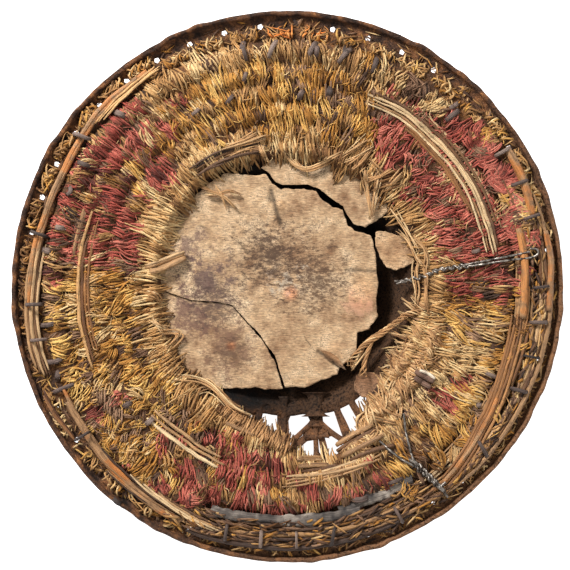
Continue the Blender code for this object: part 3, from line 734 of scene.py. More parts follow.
def hide_marks(x, y):
    """Cuts and bumps of the hide: how far they raise each point, and how much of its colour it keeps.
    A cut sinks and darkens by a bell curve of the distance to its line, the darkening a painted shade in
    its groove; a bump raises by one of the distance to its middle."""
    raised, kept = np.zeros_like(x), np.ones((*x.shape, 3))
    for x0, y0, x1, y1, wide, deep in hide_cuts:
        dx, dy = (x1 - x0) / 1000, (y1 - y0) / 1000
        share = np.clip(((x - x0 / 1000) * dx + (y - y0 / 1000) * dy) / (dx * dx + dy * dy), 0, 1)
        wander = 0.0007 * ripple(x + y, x - y, 0.004, 57)
        away = np.hypot(x - x0 / 1000 - share * dx + wander, y - y0 / 1000 - share * dy)
        bell = np.exp(-((away / (wide / 1000)) ** 2))
        raised -= deep * bell
        # Painted shade in the cut's groove: the colour darkens by up to 0.72 on its line.
        kept *= 1 - 0.72 * bell[..., None]
    for x0, y0, wide, high, colour in hide_bumps:
        bell = np.exp(-(((x - x0 / 1000) ** 2 + (y - y0 / 1000) ** 2) / (wide / 1000) ** 2) ** 2)
        raised += high * bell
        kept *= 1 + (np.array(colour) - 1) * bell[..., None]
    return raised, kept


def hide_shard(name, centre, outline, top, thickness, curl, seed, around, rings, tone, *nodes):
    """A shard of hide. Its outline, roughened by noise, shrinks in rings towards the centre to give the
    top, which waves slowly and lifts or sinks by curl at its edge as the sixth power of the share. A
    middle ring pulled in, and a lower ring, give the layered wall, which is painted darker downwards,
    0.62 and then 0.40 of the edge's colour, as the shade under the top's edge. A fan closes the bottom."""
    corners = np.array(outline + outline[:1]) / 1000
    run = np.concatenate([[0], np.cumsum(np.hypot(*np.diff(corners, axis=0).T))])
    steps = np.linspace(0.0, run[-1], around + 1)[:-1]
    edge = np.stack([np.interp(steps, run, corners[:, axis]) for axis in (0, 1)], axis=-1)
    middle = np.array(centre) / 1000
    outward = edge - middle
    outward = outward / np.linalg.norm(outward, axis=1, keepdims=True)
    rough = 0.0006 * ripple(*edge.T, 0.0046, seed) + 0.0005 * ripple(*edge.T, 0.0017, seed + 1)
    edge = edge + outward * np.minimum(rough, 0.0003)[:, None]
    share = np.linspace(0.0, 1.0, rings + 1)[1:, None, None]
    flat = middle + (edge - middle) * share
    x, y = flat[..., 0], flat[..., 1]
    wave = 0.0006 * ripple(x, y, 0.022, seed + 2) + 0.00025 * ripple(x, y, 0.006, seed + 3)
    lift = curl * share[..., 0] ** 6 * (0.6 + 0.6 * ripple(x, y, 0.012, seed + 4))
    raised, kept = hide_marks(x, y)
    height = top - 0.0004 + wave + lift + raised
    last = height[-1]
    wall = edge + outward * (-0.0003 + 0.0003 * ripple(*edge.T, 0.0012, seed + 5))[:, None]
    loops = np.concatenate([
        np.dstack([flat, height]),
        np.column_stack([wall, last - 0.45 * thickness])[None],
        np.column_stack([edge - outward * 0.0002, last - thickness])[None],
    ])
    points = np.concatenate([loops.reshape(-1, 3), [[*middle, height[0].mean()], [*middle, top - thickness]]])
    # The wall's two rings take the top edge's colour in painted shade, 0.62 and then 0.40 of it.
    kept = np.concatenate([kept, kept[-1:] * 0.62, kept[-1:] * 0.40]).reshape(-1, 3)
    dye = np.concatenate([kept, kept[:1], kept[-1:]]) * np.array(tone)
    count = len(loops)
    row, column = np.arange(count - 1)[:, None], np.arange(around)[None, :]
    beside = (column + 1) % around
    quads = np.stack([row * around + column, (row + 1) * around + column, (row + 1) * around + beside,
                      row * around + beside], axis=-1).reshape(-1, 4)
    column, beside = column[0], beside[0]
    crown_fan = np.stack([np.full(around, count * around), column, beside], axis=-1)
    last_row = (count - 1) * around
    bottom_fan = np.stack([np.full(around, count * around + 1), last_row + beside, last_row + column],
                          axis=-1)
    piece = put_mesh(name, points, quads, np.concatenate([crown_fan, bottom_fan]), None, np.clip(dye, 0, 1.2))
    place(piece, hide_finish, "rawhide", *nodes)


DISC_EDGE = 78.5
HIDE_THICKNESS = 0.0030


def disc_arc(start, end, count=12):
    """Points along the disc's round edge, in millimetres."""
    turn = np.radians(np.linspace(start, end, count))
    return [(DISC_EDGE * math.cos(angle), DISC_EDGE * math.sin(angle)) for angle in turn]


crack = [(-58.5, -8.1), (-44.0, -9.3), (-33.3, -11.1), (-29.7, -15.3), (-22.8, -22.8), (-15.3, -30.9),
         (-6.9, -44.1),
         (-1.5, -60.9)]
torn_edge = [(10.5, -61.1), (19.9, -56.9), (30.2, -53.4), (33.1, -47.6), (41.9, -39.5), (41.9, -27.9),
             (49.1, -25.7),
             (54.6, -17.7), (53.5, -7.5), (54.9, 3.3), (52.8, 21.5), (50.7, 30.9)]
under_gap = [(41.7, 33.9), (36.9, 36.9), (33.3, 46.2), (27.3, 48.3), (20.7, 52.2), (17.3, 57.3), (9.3, 59.7),
             (-3.7, 59.1), (-9.3, 62.1), (-12.9, 67.8), (-28.5, 67.8)]
PALE = (1.0, 1.0, 1.0)
hide_shard("hide_main", (5.0, 0.0), torn_edge + under_gap + disc_arc(119, 181) + crack, DISC_TOP,
           HIDE_THICKNESS, 0.0009,
           51, 400, 56, PALE, "hide_disc_main")
far_side = [(x - 0.3 - 0.10 * number, y - 0.3 - 0.10 * number) for number, (x, y) in enumerate(crack)]
hide_shard("hide_lower", (-35.0, -38.0), disc_arc(181.5, 232) + [(-19.0, -61.4),
                                                                 (-12.6, -62.7)] + far_side[::-1],
           DISC_TOP, HIDE_THICKNESS, -0.0006, 61, 320, 30, PALE, "hide_disc_lower")
shard_edge = [(-16.1, 71.9), (-11.6, 68.9), (-8.0, 63.9), (-3.9, 61.6), (0.9, 61.6), (10.1, 62.6),
              (14.6, 60.5),
              (18.9, 59.1), (26.6, 53.5), (33.8, 48.4), (36.1, 43.4), (40.4, 37.5), (47.0, 35.7),
              (53.7, 39.4)]
hide_shard("hide_upper_shard", (28.0, 62.0), shard_edge + disc_arc(37, 96), DISC_TOP, HIDE_THICKNESS,
           0.0005, 71, 300, 26,
           PALE, "hide_disc_upper_shard")
right_edge = [(53.0, 33.3), (53.6, 24.1), (55.5, 18.0), (59.9, 11.3), (66.3, 9.9), (72.9, 12.9)]
right_end = [(67.3, 30.9), (63.3, 32.3), (58.7, 33.6)]
hide_shard("hide_right_shard", (65.0, 22.0), right_edge + disc_arc(11, 23.5, 4) + right_end, DISC_TOP,
           HIDE_THICKNESS, 0.0004,
           81, 160, 16, (0.95, 0.88, 0.82), "hide_disc_right_shard")
scrap_edge = [(41.1, -53.1), (40.5, -62.1), (44.7, -66.9), (52.5, -69.3), (56.7, -63.3), (57.3, -54.9),
              (50.7, -51.3)]
flap_edge = [(19.2, -37.8), (25.2, -39.3), (31.2, -43.8), (35.4, -50.4), (29.4, -47.4), (23.4, -43.2)]
hide_shard("torn_flap", (27.6, -43.8), flap_edge, DISC_TOP + 0.0015, 0.0012, 0.0008, 95, 80, 8,
           (0.80, 0.66, 0.56))
hide_shard("torn_scrap", (49.0, -60.0), scrap_edge, 0.0419, 0.0020, 0.0012, 91, 160, 14, (0.50, 0.38, 0.33),
           "hide_scrap")


# The edge canes: peeled withies and split cane bent round the body's edge to stiffen it. At the left they
# are thick and peeled, with a split bundle between them. At the right and bottom they are split, torn and
# dirty. Bare canes also lie on the coils where the bast is gone.

bast_shades["cane"] = ((88, 52, 28), (176, 120, 68), (226, 178, 118))
bast_shades["pale_cane"] = ((112, 76, 46), (186, 142, 96), (234, 202, 154))
bast_shades["dark_cane"] = ((66, 44, 30), (124, 86, 54), (194, 146, 94))
bast_shades["peeled"] = ((122, 70, 34), (192, 120, 60), (232, 170, 104))
cane_finish = fibre_finish("split cane", 0.62, 1700.0, 0.0010, paint(66, 44, 28), 0.535)
peeled_finish = fibre_finish("peeled withy", 0.6, 1400.0, 0.0012, paint(84, 54, 32), 0.545,
                             paint(164, 128, 90))


def mixed_shades(rng, kind, middle, spread, count):
    """A colour of that dye for each of count pieces, in shades spread by chance about a middle one."""
    return bast_colour(kind, np.clip(middle + spread * rng.normal(size=count), 0, 1))


def cane_paths(rng, table, starts, ends, offset, height, seed):
    """Lines of canes that run through stations of angle and radius, joined evenly by angle. Each is set
    off across the line and wanders by noise, sideways and up and down."""
    table = np.array(table, float)
    table = table[table[:, 0].argsort()]
    steps = max(20, int((ends - starts).max() * 1.3))
    degrees = starts[:, None] + (ends - starts)[:, None] * np.linspace(0, 1, steps)
    number = np.arange(len(starts))[:, None] * 7.3 + 0 * degrees
    line = np.interp(degrees, table[:, 0], table[:, 1])
    wander = 0.0005 * ripple(degrees, number, 9.0, seed) + 0.00025 * ripple(degrees, number, 2.5, seed + 1)
    radius = line + offset[:, None] + wander
    x, y, _ = polar(radius, degrees, 0.0).transpose(2, 0, 1)
    level = height(x, y) + rng.uniform(-0.0006, 0.0008, len(starts))[:, None]
    level = level + 0.0003 * ripple(degrees, number, 5.0, seed + 2)
    return np.stack([x, y, level], axis=-1)


def cane_bundle(rng, name, stations, splits, width, spread, height, kind, *nodes):
    """Split canes side by side along one line, which start and end a little apart and differ in width."""
    finish, tip = (peeled_finish, 0.8) if kind == "peeled" else (cane_finish, 0.5)
    start, end = min(stations)[0], max(stations)[0]
    ragged = min(5.0, 0.12 * (end - start))
    starts = start + rng.uniform(0, ragged, splits)
    ends = end - rng.uniform(0, ragged, splits)
    offset = spread * ((np.arange(splits) + 0.5) / splits - 0.5)
    paths = cane_paths(rng, stations, starts, ends, offset, height, 41)
    wide = width * rng.uniform(0.75, 1.2, splits)
    spread_of_shade = 0.10 if kind == "peeled" else 0.34
    colour = mixed_shades(rng, kind, 0.5, spread_of_shade, splits)
    put_strands(name, paths, wide, 0.85 * wide, 8, colour, finish, "cane", nodes, tip, 0.1)


def on_edge(lift):
    """A height function: the mat outside the coils plus a lift."""
    return lambda x, y: iron_back(np.hypot(x, y)) + 0.0033 + lift


def on_coils(lift):
    """A height function: the coils plus a lift."""
    return lambda x, y: body_height(x, y) + lift


rng = np.random.default_rng(19)
left_line = [(121, 0.1548), (127, 0.1532), (132, 0.1533), (138, 0.1530), (144, 0.1513), (150, 0.1506),
             (163, 0.1507),
             (169, 0.1515), (176, 0.1525), (185, 0.1548)]
cane_bundle(rng, "left_upper_cane", left_line, 2, 0.0031, 0.0026, on_edge(0.0032), "peeled",
            "edge_cane_left_upper")
cane_bundle(rng, "left_split_cane", [(166, 0.1496), (172, 0.1504), (178, 0.1516), (186, 0.1536),
                                     (194, 0.1548),
                                     (202, 0.1546)], 5, 0.0021, 0.0076, on_edge(0.0030), "pale_cane")
cane_bundle(rng, "left_upper_split", [(119, 0.1525), (126, 0.1508), (134, 0.1500), (140, 0.1490)], 3, 0.0016,
            0.0036, on_edge(0.0040), "cane")
lower_line = [(204, 0.1478), (215, 0.1485), (225, 0.1500), (236, 0.1528), (248, 0.1543)]
cane_bundle(rng, "left_lower_cane", lower_line, 2, 0.0038, 0.0034, on_edge(0.0034), "peeled",
            "edge_cane_left_lower")
cane_bundle(rng, "left_thin_cane", [(203, 0.1590), (209, 0.1585), (217, 0.1560)], 2, 0.0020, 0.0024,
            on_edge(0.0030), "cane")
cane_bundle(rng, "left_inner_split", [(228, 0.1440), (238, 0.1460), (248, 0.1490), (256, 0.1505)], 4, 0.0017,
            0.0050, on_edge(0.0048), "pale_cane")
cane_bundle(rng, "bottom_canes", [(246, 0.1535), (262, 0.1525), (280, 0.1520), (303, 0.1510)], 4, 0.0029,
            0.0100,
            on_edge(0.0034), "dark_cane", "edge_cane_bottom_outer")
cane_bundle(rng, "bottom_inner_canes", [(246, 0.1440), (266, 0.1445), (284, 0.1440), (305, 0.1430)], 2,
            0.0029,
            0.0055, on_edge(0.0032), "dark_cane", "edge_cane_bottom_inner")
cane_bundle(rng, "right_outer_canes", [(-60, 0.1515), (-40, 0.1535), (-15, 0.1540), (5, 0.1545),
                                       (22, 0.1535)], 3,
            0.0030, 0.0086, on_edge(0.0044), "pale_cane", "edge_cane_right_outer")
cane_bundle(rng, "right_middle_canes", [(-57, 0.1440), (-30, 0.1440), (0, 0.1440), (20, 0.1440),
                                        (31, 0.1425)], 3,
            0.0026, 0.0078, on_edge(0.0034), "pale_cane", "edge_cane_right_middle")
cane_bundle(rng, "right_inner_canes", [(-51, 0.1380), (-20, 0.1385), (5, 0.1390), (22, 0.1390)], 3, 0.0018,
            0.0050,
            on_edge(0.0034), "pale_cane", "edge_cane_right_inner")
bare_line = [(8, 0.1242), (19, 0.1238), (28, 0.1244), (39, 0.1240), (47, 0.1236), (56, 0.1244), (70, 0.1222)]
cane_bundle(rng, "bare_right_outer", bare_line, 5, 0.0021, 0.0088, on_coils(0.0026), "pale_cane",
            "bare_cane_right_outer")
cane_bundle(rng, "bare_right_inner", [(18, 0.1180), (34, 0.1176), (58, 0.1186)], 2, 0.0019, 0.0028,
            on_coils(0.0022),
            "cane", "bare_cane_right_inner")
cane_bundle(rng, "bare_right_thin", [(14, 0.1312), (30, 0.1306), (58, 0.1307)], 2, 0.0018, 0.0034,
            on_coils(0.0012),
            "pale_cane")
cane_bundle(rng, "right_lower_canes", [(-55, 0.1518), (-48, 0.1490), (-37, 0.1442), (-20, 0.1392),
                                       (-6, 0.1384)], 5,
            0.0023, 0.0095, on_edge(0.0054), "cane")
for name, line, width, lift in (
    ("peeled_cane_upper", [(16, 0.1522), (22, 0.1534), (33, 0.1540)], 0.0048, 0.0058),
    ("peeled_cane_middle", [(-8, 0.1412), (6, 0.1420), (17, 0.1424)], 0.0042, 0.0058),
    ("peeled_cane_outer", [(-8, 0.1558), (6, 0.1575), (14, 0.1570)], 0.0036, 0.0040),
    ("peeled_cane_lower", [(-52, 0.1488), (-36, 0.1440), (-26, 0.1410)], 0.0032, 0.0066),
):
    cane_bundle(rng, name, line, 1, width, 0.0, on_edge(lift), "peeled")
cane_bundle(rng, "bare_coil_top", [(98, 0.0835), (106, 0.0858), (116, 0.0872), (131, 0.0885)], 6, 0.0017,
            0.0078,
            on_coils(0.0022), "dark_cane")
cane_bundle(rng, "bare_left", [(158, 0.1220), (172, 0.1225), (185, 0.1220), (203, 0.1235)], 4, 0.0021, 0.0076,
            on_coils(0.0020), "cane", "bare_cane_left")
cane_bundle(rng, "bare_left_thin", [(159, 0.1290), (166, 0.1285), (173, 0.1280)], 3, 0.0018, 0.0034,
            on_coils(0.0018), "pale_cane")
cane_bundle(rng, "bare_lower_left", [(220, 0.1120), (234, 0.1110), (252, 0.1130)], 3, 0.0025, 0.0088,
            on_coils(0.0020), "pale_cane", "bare_cane_lower_left")
cane_bundle(rng, "bare_lower_right", [(268, 0.1170), (283, 0.1145), (300, 0.1140)], 4, 0.0018, 0.0070,
            on_coils(0.0020), "pale_cane", "bare_cane_lower_right")

for name, low, high, inner, outer, count, kind in (
    ("right_splinters", -58.0, 34.0, 0.1365, 0.1540, 24, "cane"),
    ("lower_splinters", -112.0, -52.0, 0.1410, 0.1550, 24, "dark_cane"),
    ("left_splinters", 200.0, 252.0, 0.1455, 0.1575, 14, "dark_cane"),
):
    middle, long = rng.uniform(low, high, count), rng.uniform(5.0, 26.0, count)
    starts, ends = np.clip(middle - long / 2, low, None), np.clip(middle + long / 2, None, high)
    paths = cane_paths(rng, [(low, 0.0), (high, 0.0)], starts, ends, rng.uniform(inner, outer, count),
                       on_edge(0.0042), 47)
    wide = rng.uniform(0.0010, 0.0022, count)
    colour = mixed_shades(rng, kind, 0.5, 0.28, count)
    put_strands(name, paths, wide, 0.8 * wide, 6, colour, cane_finish, "cane", (), 0.4, 0.2)


# The strip and laces: dark, dry leather. A strip lies along the lower edge between coils and canes,
# laces cross the edge canes and go down through the holes, and torn ends of lace lie on the bast.

bast_shades["leather"] = ((50, 38, 33), (106, 86, 76), (164, 140, 124))
bast_shades["slate"] = ((48, 42, 40), (112, 101, 92), (184, 170, 154))
leather_finish = fibre_finish("dark leather", 0.7, 1100.0, 0.0012, paint(42, 32, 28), 0.55)

rng = np.random.default_rng(23)
strips = []
widths = []
for low, high, line, seed in ((251.0, 277.0, 0.1398, 44), (264.0, 288.0, 0.1400, 45),
                              (283.0, 303.0, 0.1375, 46)):
    degrees = np.linspace(low, high, 70)
    radius = line + 0.0012 * wobble(degrees, 5.0, seed) + 0.0006 * wobble(degrees, 1.7, seed)
    level = iron_back(radius) + 0.0074 + 0.0009 * wobble(degrees, 4.0, seed + 7)
    strips.append(polar(radius, degrees, level))
    widths.append(0.0058 + (0.0011 * wobble(degrees, 3.0, seed, 3.0) + 0.0008 * wobble(degrees, 1.1, seed)))
widths = np.stack(widths)
points, quads, tris, uv = tubes(np.stack(strips), widths, widths * 0.34, 10)
x, y = points[:, 0], points[:, 1]
patches = 0.34 * ripple(x, y, 0.005, 49) + 0.26 * ripple(x, y, 0.0018, 50)
colour = bast_colour("slate", np.clip(0.40 + patches, 0, 1))
place(put_mesh("slate_strip", points, quads, tris, uv, colour), leather_finish, "lace_leather",
      "leather_strip")


def strap_paths(profile, degrees, slant, steps):
    """Laces that lie along the radius through a profile of radius and height, evenly by point, with
    slant degrees of turn from one end to the other."""
    profile = np.array(profile)
    share = np.linspace(0, len(profile) - 1, steps)
    across, level = (np.interp(share, np.arange(len(profile)), profile[:, axis]) for axis in (0, 1))
    turned = degrees[:, None] + slant[:, None] * np.linspace(-0.5, 0.5, steps)
    return polar(across[None, :], turned, level[None, :])


laced = np.array([-104, -96, -88, -80, -64, -40, -24, -16, -8, 0, 16, 24, 32, 144, 168, 184, 192, 216.0])
over_canes = [(0.1462, 0.0512), (0.1463, 0.0560), (0.1475, 0.0590), (0.1515, 0.0600), (0.1550, 0.0590),
              (0.1567, 0.0555), (0.1570, 0.0505), (0.1570, 0.0480)]
paths = strap_paths(over_canes, laced, 1.6 * rng.normal(size=len(laced)), 16)
width = rng.uniform(0.0017, 0.0027, len(laced))
colour = mixed_shades(rng, "leather", 0.35, 0.2, len(laced))
put_strands("laces", paths, width, 0.5 * width, 6, colour, leather_finish, "lace_leather",
            tuple(f"lace_{number:02d}" for number in range(1, 19)), 0.8, 0.1)

stubs = np.array([46.0, 68.5, 76.0, 84.0, 93.5, 100.5])
over_coil = [(0.1366, 0.0568), (0.1400, 0.0592), (0.1430, 0.0592), (0.1455, 0.0576), (0.1470, 0.0530)]
paths = strap_paths(over_coil, stubs, 1.5 * rng.normal(size=len(stubs)), 12)
width = rng.uniform(0.0028, 0.0038, len(stubs))
colour = mixed_shades(rng, "leather", 0.4, 0.15, len(stubs))
put_strands("lace_stubs", paths, width, 0.4 * width, 6, colour, leather_finish, "lace_leather",
            tuple(f"coil_lace_{number:02d}" for number in range(1, 7)), 0.8, 0.1)

torn_ends = np.array([
    (-100.5, 103.5, -28, 10), (-120.9, 73.5, -20, 10), (-131.1, 57.3, 70, 6), (-135.3, 35.7, -8, 8),
    (-144.3, 21.3, -15, 8), (-143.7, -22.5, 8, 11), (-140.1, -43.5, 10, 13), (-133.5, -60.9, 22, 17),
    (-137.7, -53.1, 80, 6), (123.9, -53.7, -22, 16), (117.3, -71.1, -8, 12), (107.7, -91.5, 15, 13),
    (92.1, -105.9, -30, 10), (82.5, -54.3, 20, 10), (-26.7, 143.7, 80, 7), (17.1, 140.1, 85, 8),
    (35.1, 140.1, 88, 8), (99.3, 108.3, 35, 8), (-54.9, -141.3, 60, 8), (25.5, 116.7, 75, 7),
    (8.7, 114.3, 60, 7), (-82.5, -80.1, 40, 8), (-95.7, -71.1, 30, 7), (64.5, -116.1, 20, 12),
    (43.5, -126.3, 10, 11), (-25.5, 125.1, 70, 7), (-34.5, 111.9, 50, 8), (-54.9, 104.7, 40, 7),
    (-101.7, -128.1, -40, 7), (112.5, 21.9, 20, 6),
])
x, y = torn_ends[:, 0] / 1000, torn_ends[:, 1] / 1000
lean = np.radians(torn_ends[:, 2]) - np.arctan2(y, x)
paths = laid_strands(x, y, torn_ends[:, 3] / 1000, lean, rng.normal(0, 0.0006, len(x)),
                     np.full(len(x), 0.0026), 9)
paths[..., 2] += 0.0008
width = rng.uniform(0.0024, 0.0042, len(x))
colour = mixed_shades(rng, "leather", 0.45, 0.2, len(x))
put_strands("torn_lace_ends", paths, width, 0.35 * width, 6, colour, leather_finish, "lace_leather", (),
            0.7, 0.1)


# The wires: two old repairs in iron wire. Each is one wire doubled round the body and twisted
# together with pliers, the right one with a hook over the canes, the lower one with its ends apart.

wire_finish, tree, shader = new_finish("old iron wire", 0.42, 0.7)
spot = add_node(tree, "ShaderNodeTexCoord").outputs["Object"]
broad = noise(tree, spot, 420.0, 5.0, 0.6)
tree.links.new(ramp(tree, broad, (0.38, (48, 38, 32)), highest=(0.68, (184, 174, 162))),
               shader.inputs["Base Color"])


def along_line(corners, steps):
    """A smooth path through corners in millimetres: even steps by length, then each point averaged with
    its four neighbours twice."""
    corners = np.array(corners, float) / 1000
    run = np.concatenate([[0], np.cumsum(np.linalg.norm(np.diff(corners, axis=0), axis=1))])
    even = np.linspace(0, run[-1], steps)
    path = np.stack([np.interp(even, run, corners[:, axis]) for axis in range(corners.shape[1])], axis=-1)
    for _ in range(2):
        wide = np.pad(path, ((2, 2), (0, 0)), mode="reflect", reflect_type="odd")
        path = sum(wide[shift : shift + steps] for shift in range(5)) / 5
    return path


def sideways(flat):
    """How far along a flat path each point lies, and the direction at right angles to it there."""
    run = np.concatenate([[0], np.cumsum(np.hypot(*np.diff(flat, axis=0).T))])
    ahead = np.gradient(flat, axis=0)
    ahead /= np.linalg.norm(ahead, axis=1, keepdims=True)
    return run, np.stack([-ahead[:, 1], ahead[:, 0]], axis=-1)


def on_top(x, y):
    """Height of whatever is uppermost: canes on the edge, coils further in, then the disc."""
    radius = np.hypot(x, y)
    edge = np.where((radius > COILS_END) & (radius < 0.1560), iron_back(radius) + 0.0096, 0.0)
    fall = np.clip((0.161 - radius) / 0.005, 0.0, 1.0)
    return np.maximum(np.maximum(body_height(x, y) + 0.0018, edge * fall), iron_back(radius) + 0.0008)


WIRE_WIDTH = 0.0014
WIRE_STEPS = 170
TWIST_LENGTH = 0.0042


def wire_run(corners, twist_from, twist_to, phase):
    """One strand of a doubled wire: a line that lies on top of the buckler and, between two shares of
    its length, winds as a helix of about half a wire's width round it."""
    flat = along_line(corners, WIRE_STEPS)
    share = np.linspace(0, 1, WIRE_STEPS)
    twisted = np.clip((share - twist_from) / 0.03, 0, 1) * np.clip((twist_to - share) / 0.03, 0, 1)
    run, aside = sideways(flat)
    turn = run / TWIST_LENGTH * 2 * np.pi + phase
    flat = flat + aside * (0.55 * WIRE_WIDTH * twisted * np.cos(turn))[:, None]
    level = on_top(*flat.T)
    for _ in range(6):
        level = np.maximum(level, np.convolve(np.pad(level, 3, mode="edge"), np.ones(7) / 7, mode="valid"))
    return np.column_stack([flat, level + 0.0010 + 0.55 * WIRE_WIDTH * twisted * np.sin(turn)])


def put_wires(name, runs, node, lift, width):
    """The strands of one wire repair as one piece."""
    wires = np.stack([wire_run(*run) for run in runs])
    wires[..., 2] += lift
    size = np.full(wires.shape[:2], width)
    points, quads, tris, uv = tubes(wires, size, size, 7)
    place(put_mesh(name, points, quads, tris, uv), wire_finish, "wire", node)


put_wires("right_wire", (
    ([(64.5, 3.3), (73.5, 3.3), (81.9, 5.7), (90.3, 10.5), (103.5, 11.1), (117.9, 13.5), (133.5, 15.9),
      (145.5, 17.1), (149.7, 19.5), (148.5, 22.5), (144.3, 22.5)], 0.03, 0.50, 0.0),
    ([(65.7, 1.5), (73.5, 4.5), (81.9, 6.3), (90.3, 9.3), (102.9, 12.3), (117.9, 15.3), (133.5, 18.3),
      (144.3, 20.7)], 0.03, 0.52, 3.1),
), "wire_tie_right", 0.0, WIRE_WIDTH)
put_wires("lower_wire", (
    ([(69.3, -75.9), (70.5, -86.7), (72.9, -96.9), (74.7, -102.9), (81.9, -110.1), (90.3, -117.9),
      (95.1, -125.1)], 0.52, 0.90, 0.0),
    ([(54.9, -92.1), (61.5, -98.1), (68.7, -103.5), (74.7, -106.5), (81.9, -112.5), (90.3, -119.7),
      (93.9, -116.1)], 0.48, 0.88, 3.1),
    ([(72.3, -102.9), (78.3, -106.5), (84.3, -111.9), (89.7, -117.3), (93.9, -122.1), (91.5, -120.9),
      (85.5, -115.5)], 0.1, 0.5, 1.4),
), "wire_tie_lower", 0.0011, 0.0016)


# Torn fibres: where the innermost coil is broken its bast hangs loose. One twisted strand still spans
# the gap at the right, tufts lie over the disc's edge, and sawn-off straw and cane ends stick out.

bast_shades["twine"] = ((120, 80, 46), (200, 150, 98), (236, 200, 148))
twine_finish = fibre_finish("twisted bast", 0.8, 2200.0, 0.0006, paint(88, 58, 36), 0.58)
rng = np.random.default_rng(31)


def twisted_plies(corners, turn_length, spread, plies, level):
    """Plies that wind as one helix about a line, looser by the square of the share over the last quarter."""
    flat = along_line(corners, 110)
    run, aside = sideways(flat)
    loose = spread * (1.0 + 1.6 * np.clip((run / run[-1] - 0.75) / 0.25, 0, 1) ** 2)
    made = []
    for ply in range(plies):
        turn = run / turn_length * 2 * np.pi + ply * 2 * np.pi / plies + 0.5 * np.sin(run * 300 + ply)
        away = flat + aside * (loose * np.cos(turn))[:, None]
        made.append(np.column_stack([away, level + loose * np.sin(turn) + 0.003 * np.clip(1 - run / 0.02, 0,
                                                                                          1)]))
    return np.stack(made)


spanning = twisted_plies([(85.5, -15.9), (77.1, -15.3), (71.1, -17.1), (66.9, -20.7), (58.5, -26.7),
                          (52.5, -30.3), (45.3, -36.3), (36.9, -48.3)],
                         0.015, 0.0013, 5, 0.0448)
branch = twisted_plies([(66.3, -20.7), (57.9, -27.9), (50.7, -32.7), (47.1, -42.3), (45.3, -54.3)], 0.015,
                       0.0010, 4, 0.0444)
for name, paths, nodes in (("twisted_strand", spanning, ("torn_binding",)), ("twisted_branch", branch, ())):
    width = rng.uniform(0.0008, 0.0015, len(paths))
    colour = bast_colour("twine", rng.uniform(0.2, 0.9, len(paths)))
    put_strands(name, paths, width, width, 6, colour, twine_finish, "straw", nodes, 0.5, 0.1)

tuft_lines = (
    ((-2.7, 80.7), (2.7, 73.5), (9.3, 68.1), (20.7, 74.1), (33.3, 80.1)),
    ((3.9, 77.1), (8.7, 68.7), (17.1, 71.1), (25.5, 77.1)),
    ((46.5, 69.9), (48.3, 57.9), (50.1, 42.3)),
    ((48.3, 75.9), (54.3, 71.1), (57.9, 66.3)),
    ((44.7, 62.7), (53.1, 65.1), (62.7, 69.9)),
    ((55.5, 68.7), (53.1, 57.9), (50.7, 43.5), (49.5, 40.5)),
    ((62.7, 47.1), (68.7, 38.7), (74.7, 29.1), (78.3, 21.9)),
    ((67.5, 32.7), (73.5, 27.9), (77.1, 18.3), (81.9, 11.1)),
    ((75.9, 30.3), (81.9, 24.3), (84.3, 17.1), (81.9, 9.9)),
    ((-51.3, 58.5), (-42.9, 56.1), (-36.9, 53.7), (-30.9, 47.1)),
    ((-48.9, 54.3), (-41.7, 54.3), (-35.7, 57.9), (-29.7, 54.3)),
    ((-44.1, 60.3), (-39.3, 54.3), (-36.9, 47.1)),
    ((-80.1, -27.9), (-71.7, -27.3), (-60.9, -26.7), (-66.9, -33.3), (-74.1, -39.9)),
    ((-82.5, -18.9), (-76.5, -24.9), (-70.5, -28.5)),
    ((-68.1, -54.3), (-58.5, -54.9), (-46.5, -56.7), (-40.5, -65.1), (-36.9, -73.5), (-29.7, -76.5),
     (-22.5, -78.3)),
    ((-54.9, -57.3), (-48.9, -54.9), (-44.1, -58.5), (-39.3, -66.9)),
    ((-52.5, -62.1), (-46.5, -58.5), (-41.7, -62.1), (-35.7, -69.3), (-28.5, -75.3)),
    ((-83.7, -2.1), (-78.9, -4.5), (-76.5, -8.1)),
    ((44.7, -36.9), (41.1, -42.9), (37.5, -48.9)),
    ((61.5, -39.3), (65.1, -44.1), (71.1, -47.7), (75.9, -52.5)),
    ((62.7, -36.9), (67.5, -41.7), (72.3, -45.3), (77.1, -48.9)),
    ((65.1, -39.3), (62.7, -45.3), (67.5, -52.5), (75.9, -56.1)),
    ((78.3, 14.7), (75.9, 6.3), (79.5, -2.1), (77.1, -10.5)),
    ((81.9, 12.3), (84.3, 3.9), (81.9, -5.7), (84.3, -15.3)),
    ((69.9, -8.1), (74.7, -11.7), (79.5, -15.3)), ((73.5, -5.7), (78.3, -10.5), (85.5, -14.1)),
    ((72.3, -30.9), (69.9, -38.1), (65.1, -45.3)),
    ((57.9, -63.3), (63.9, -66.9), (68.7, -72.9), (66.3, -78.9)),
    ((62.7, -58.5), (67.5, -63.3), (69.9, -70.5)),
    ((-37.5, 81.9), (-28.5, 84.3), (-18.9, 87.9), (-12.9, 90.3)),
    ((-35.7, 78.3), (-24.9, 81.9), (-15.3, 84.3)),
    ((-34.5, 84.3), (-26.1, 87.9), (-17.7, 91.5)), ((-10.5, 75.9), (-15.3, 81.9), (-17.7, 86.7)),
    ((31.5, 77.1), (38.7, 81.9), (47.1, 87.9)), ((33.9, 73.5), (42.3, 77.1), (50.7, 83.1)),
    ((38.7, 68.7), (44.7, 74.7), (49.5, 81.9)), ((59.1, 57.9), (65.1, 63.9), (69.9, 68.7)),
    ((60.3, -26.1), (67.5, -29.7), (75.9, -32.1)), ((65.1, -34.5), (73.5, -35.7), (81.9, -38.1)),
    ((54.3, -68.1), (60.3, -74.1), (67.5, -77.7)), ((50.7, -77.7), (57.9, -80.1), (65.1, -82.5)),
)
TUFT_POINTS = 15
TUFT_STRANDS = 5
paths = []
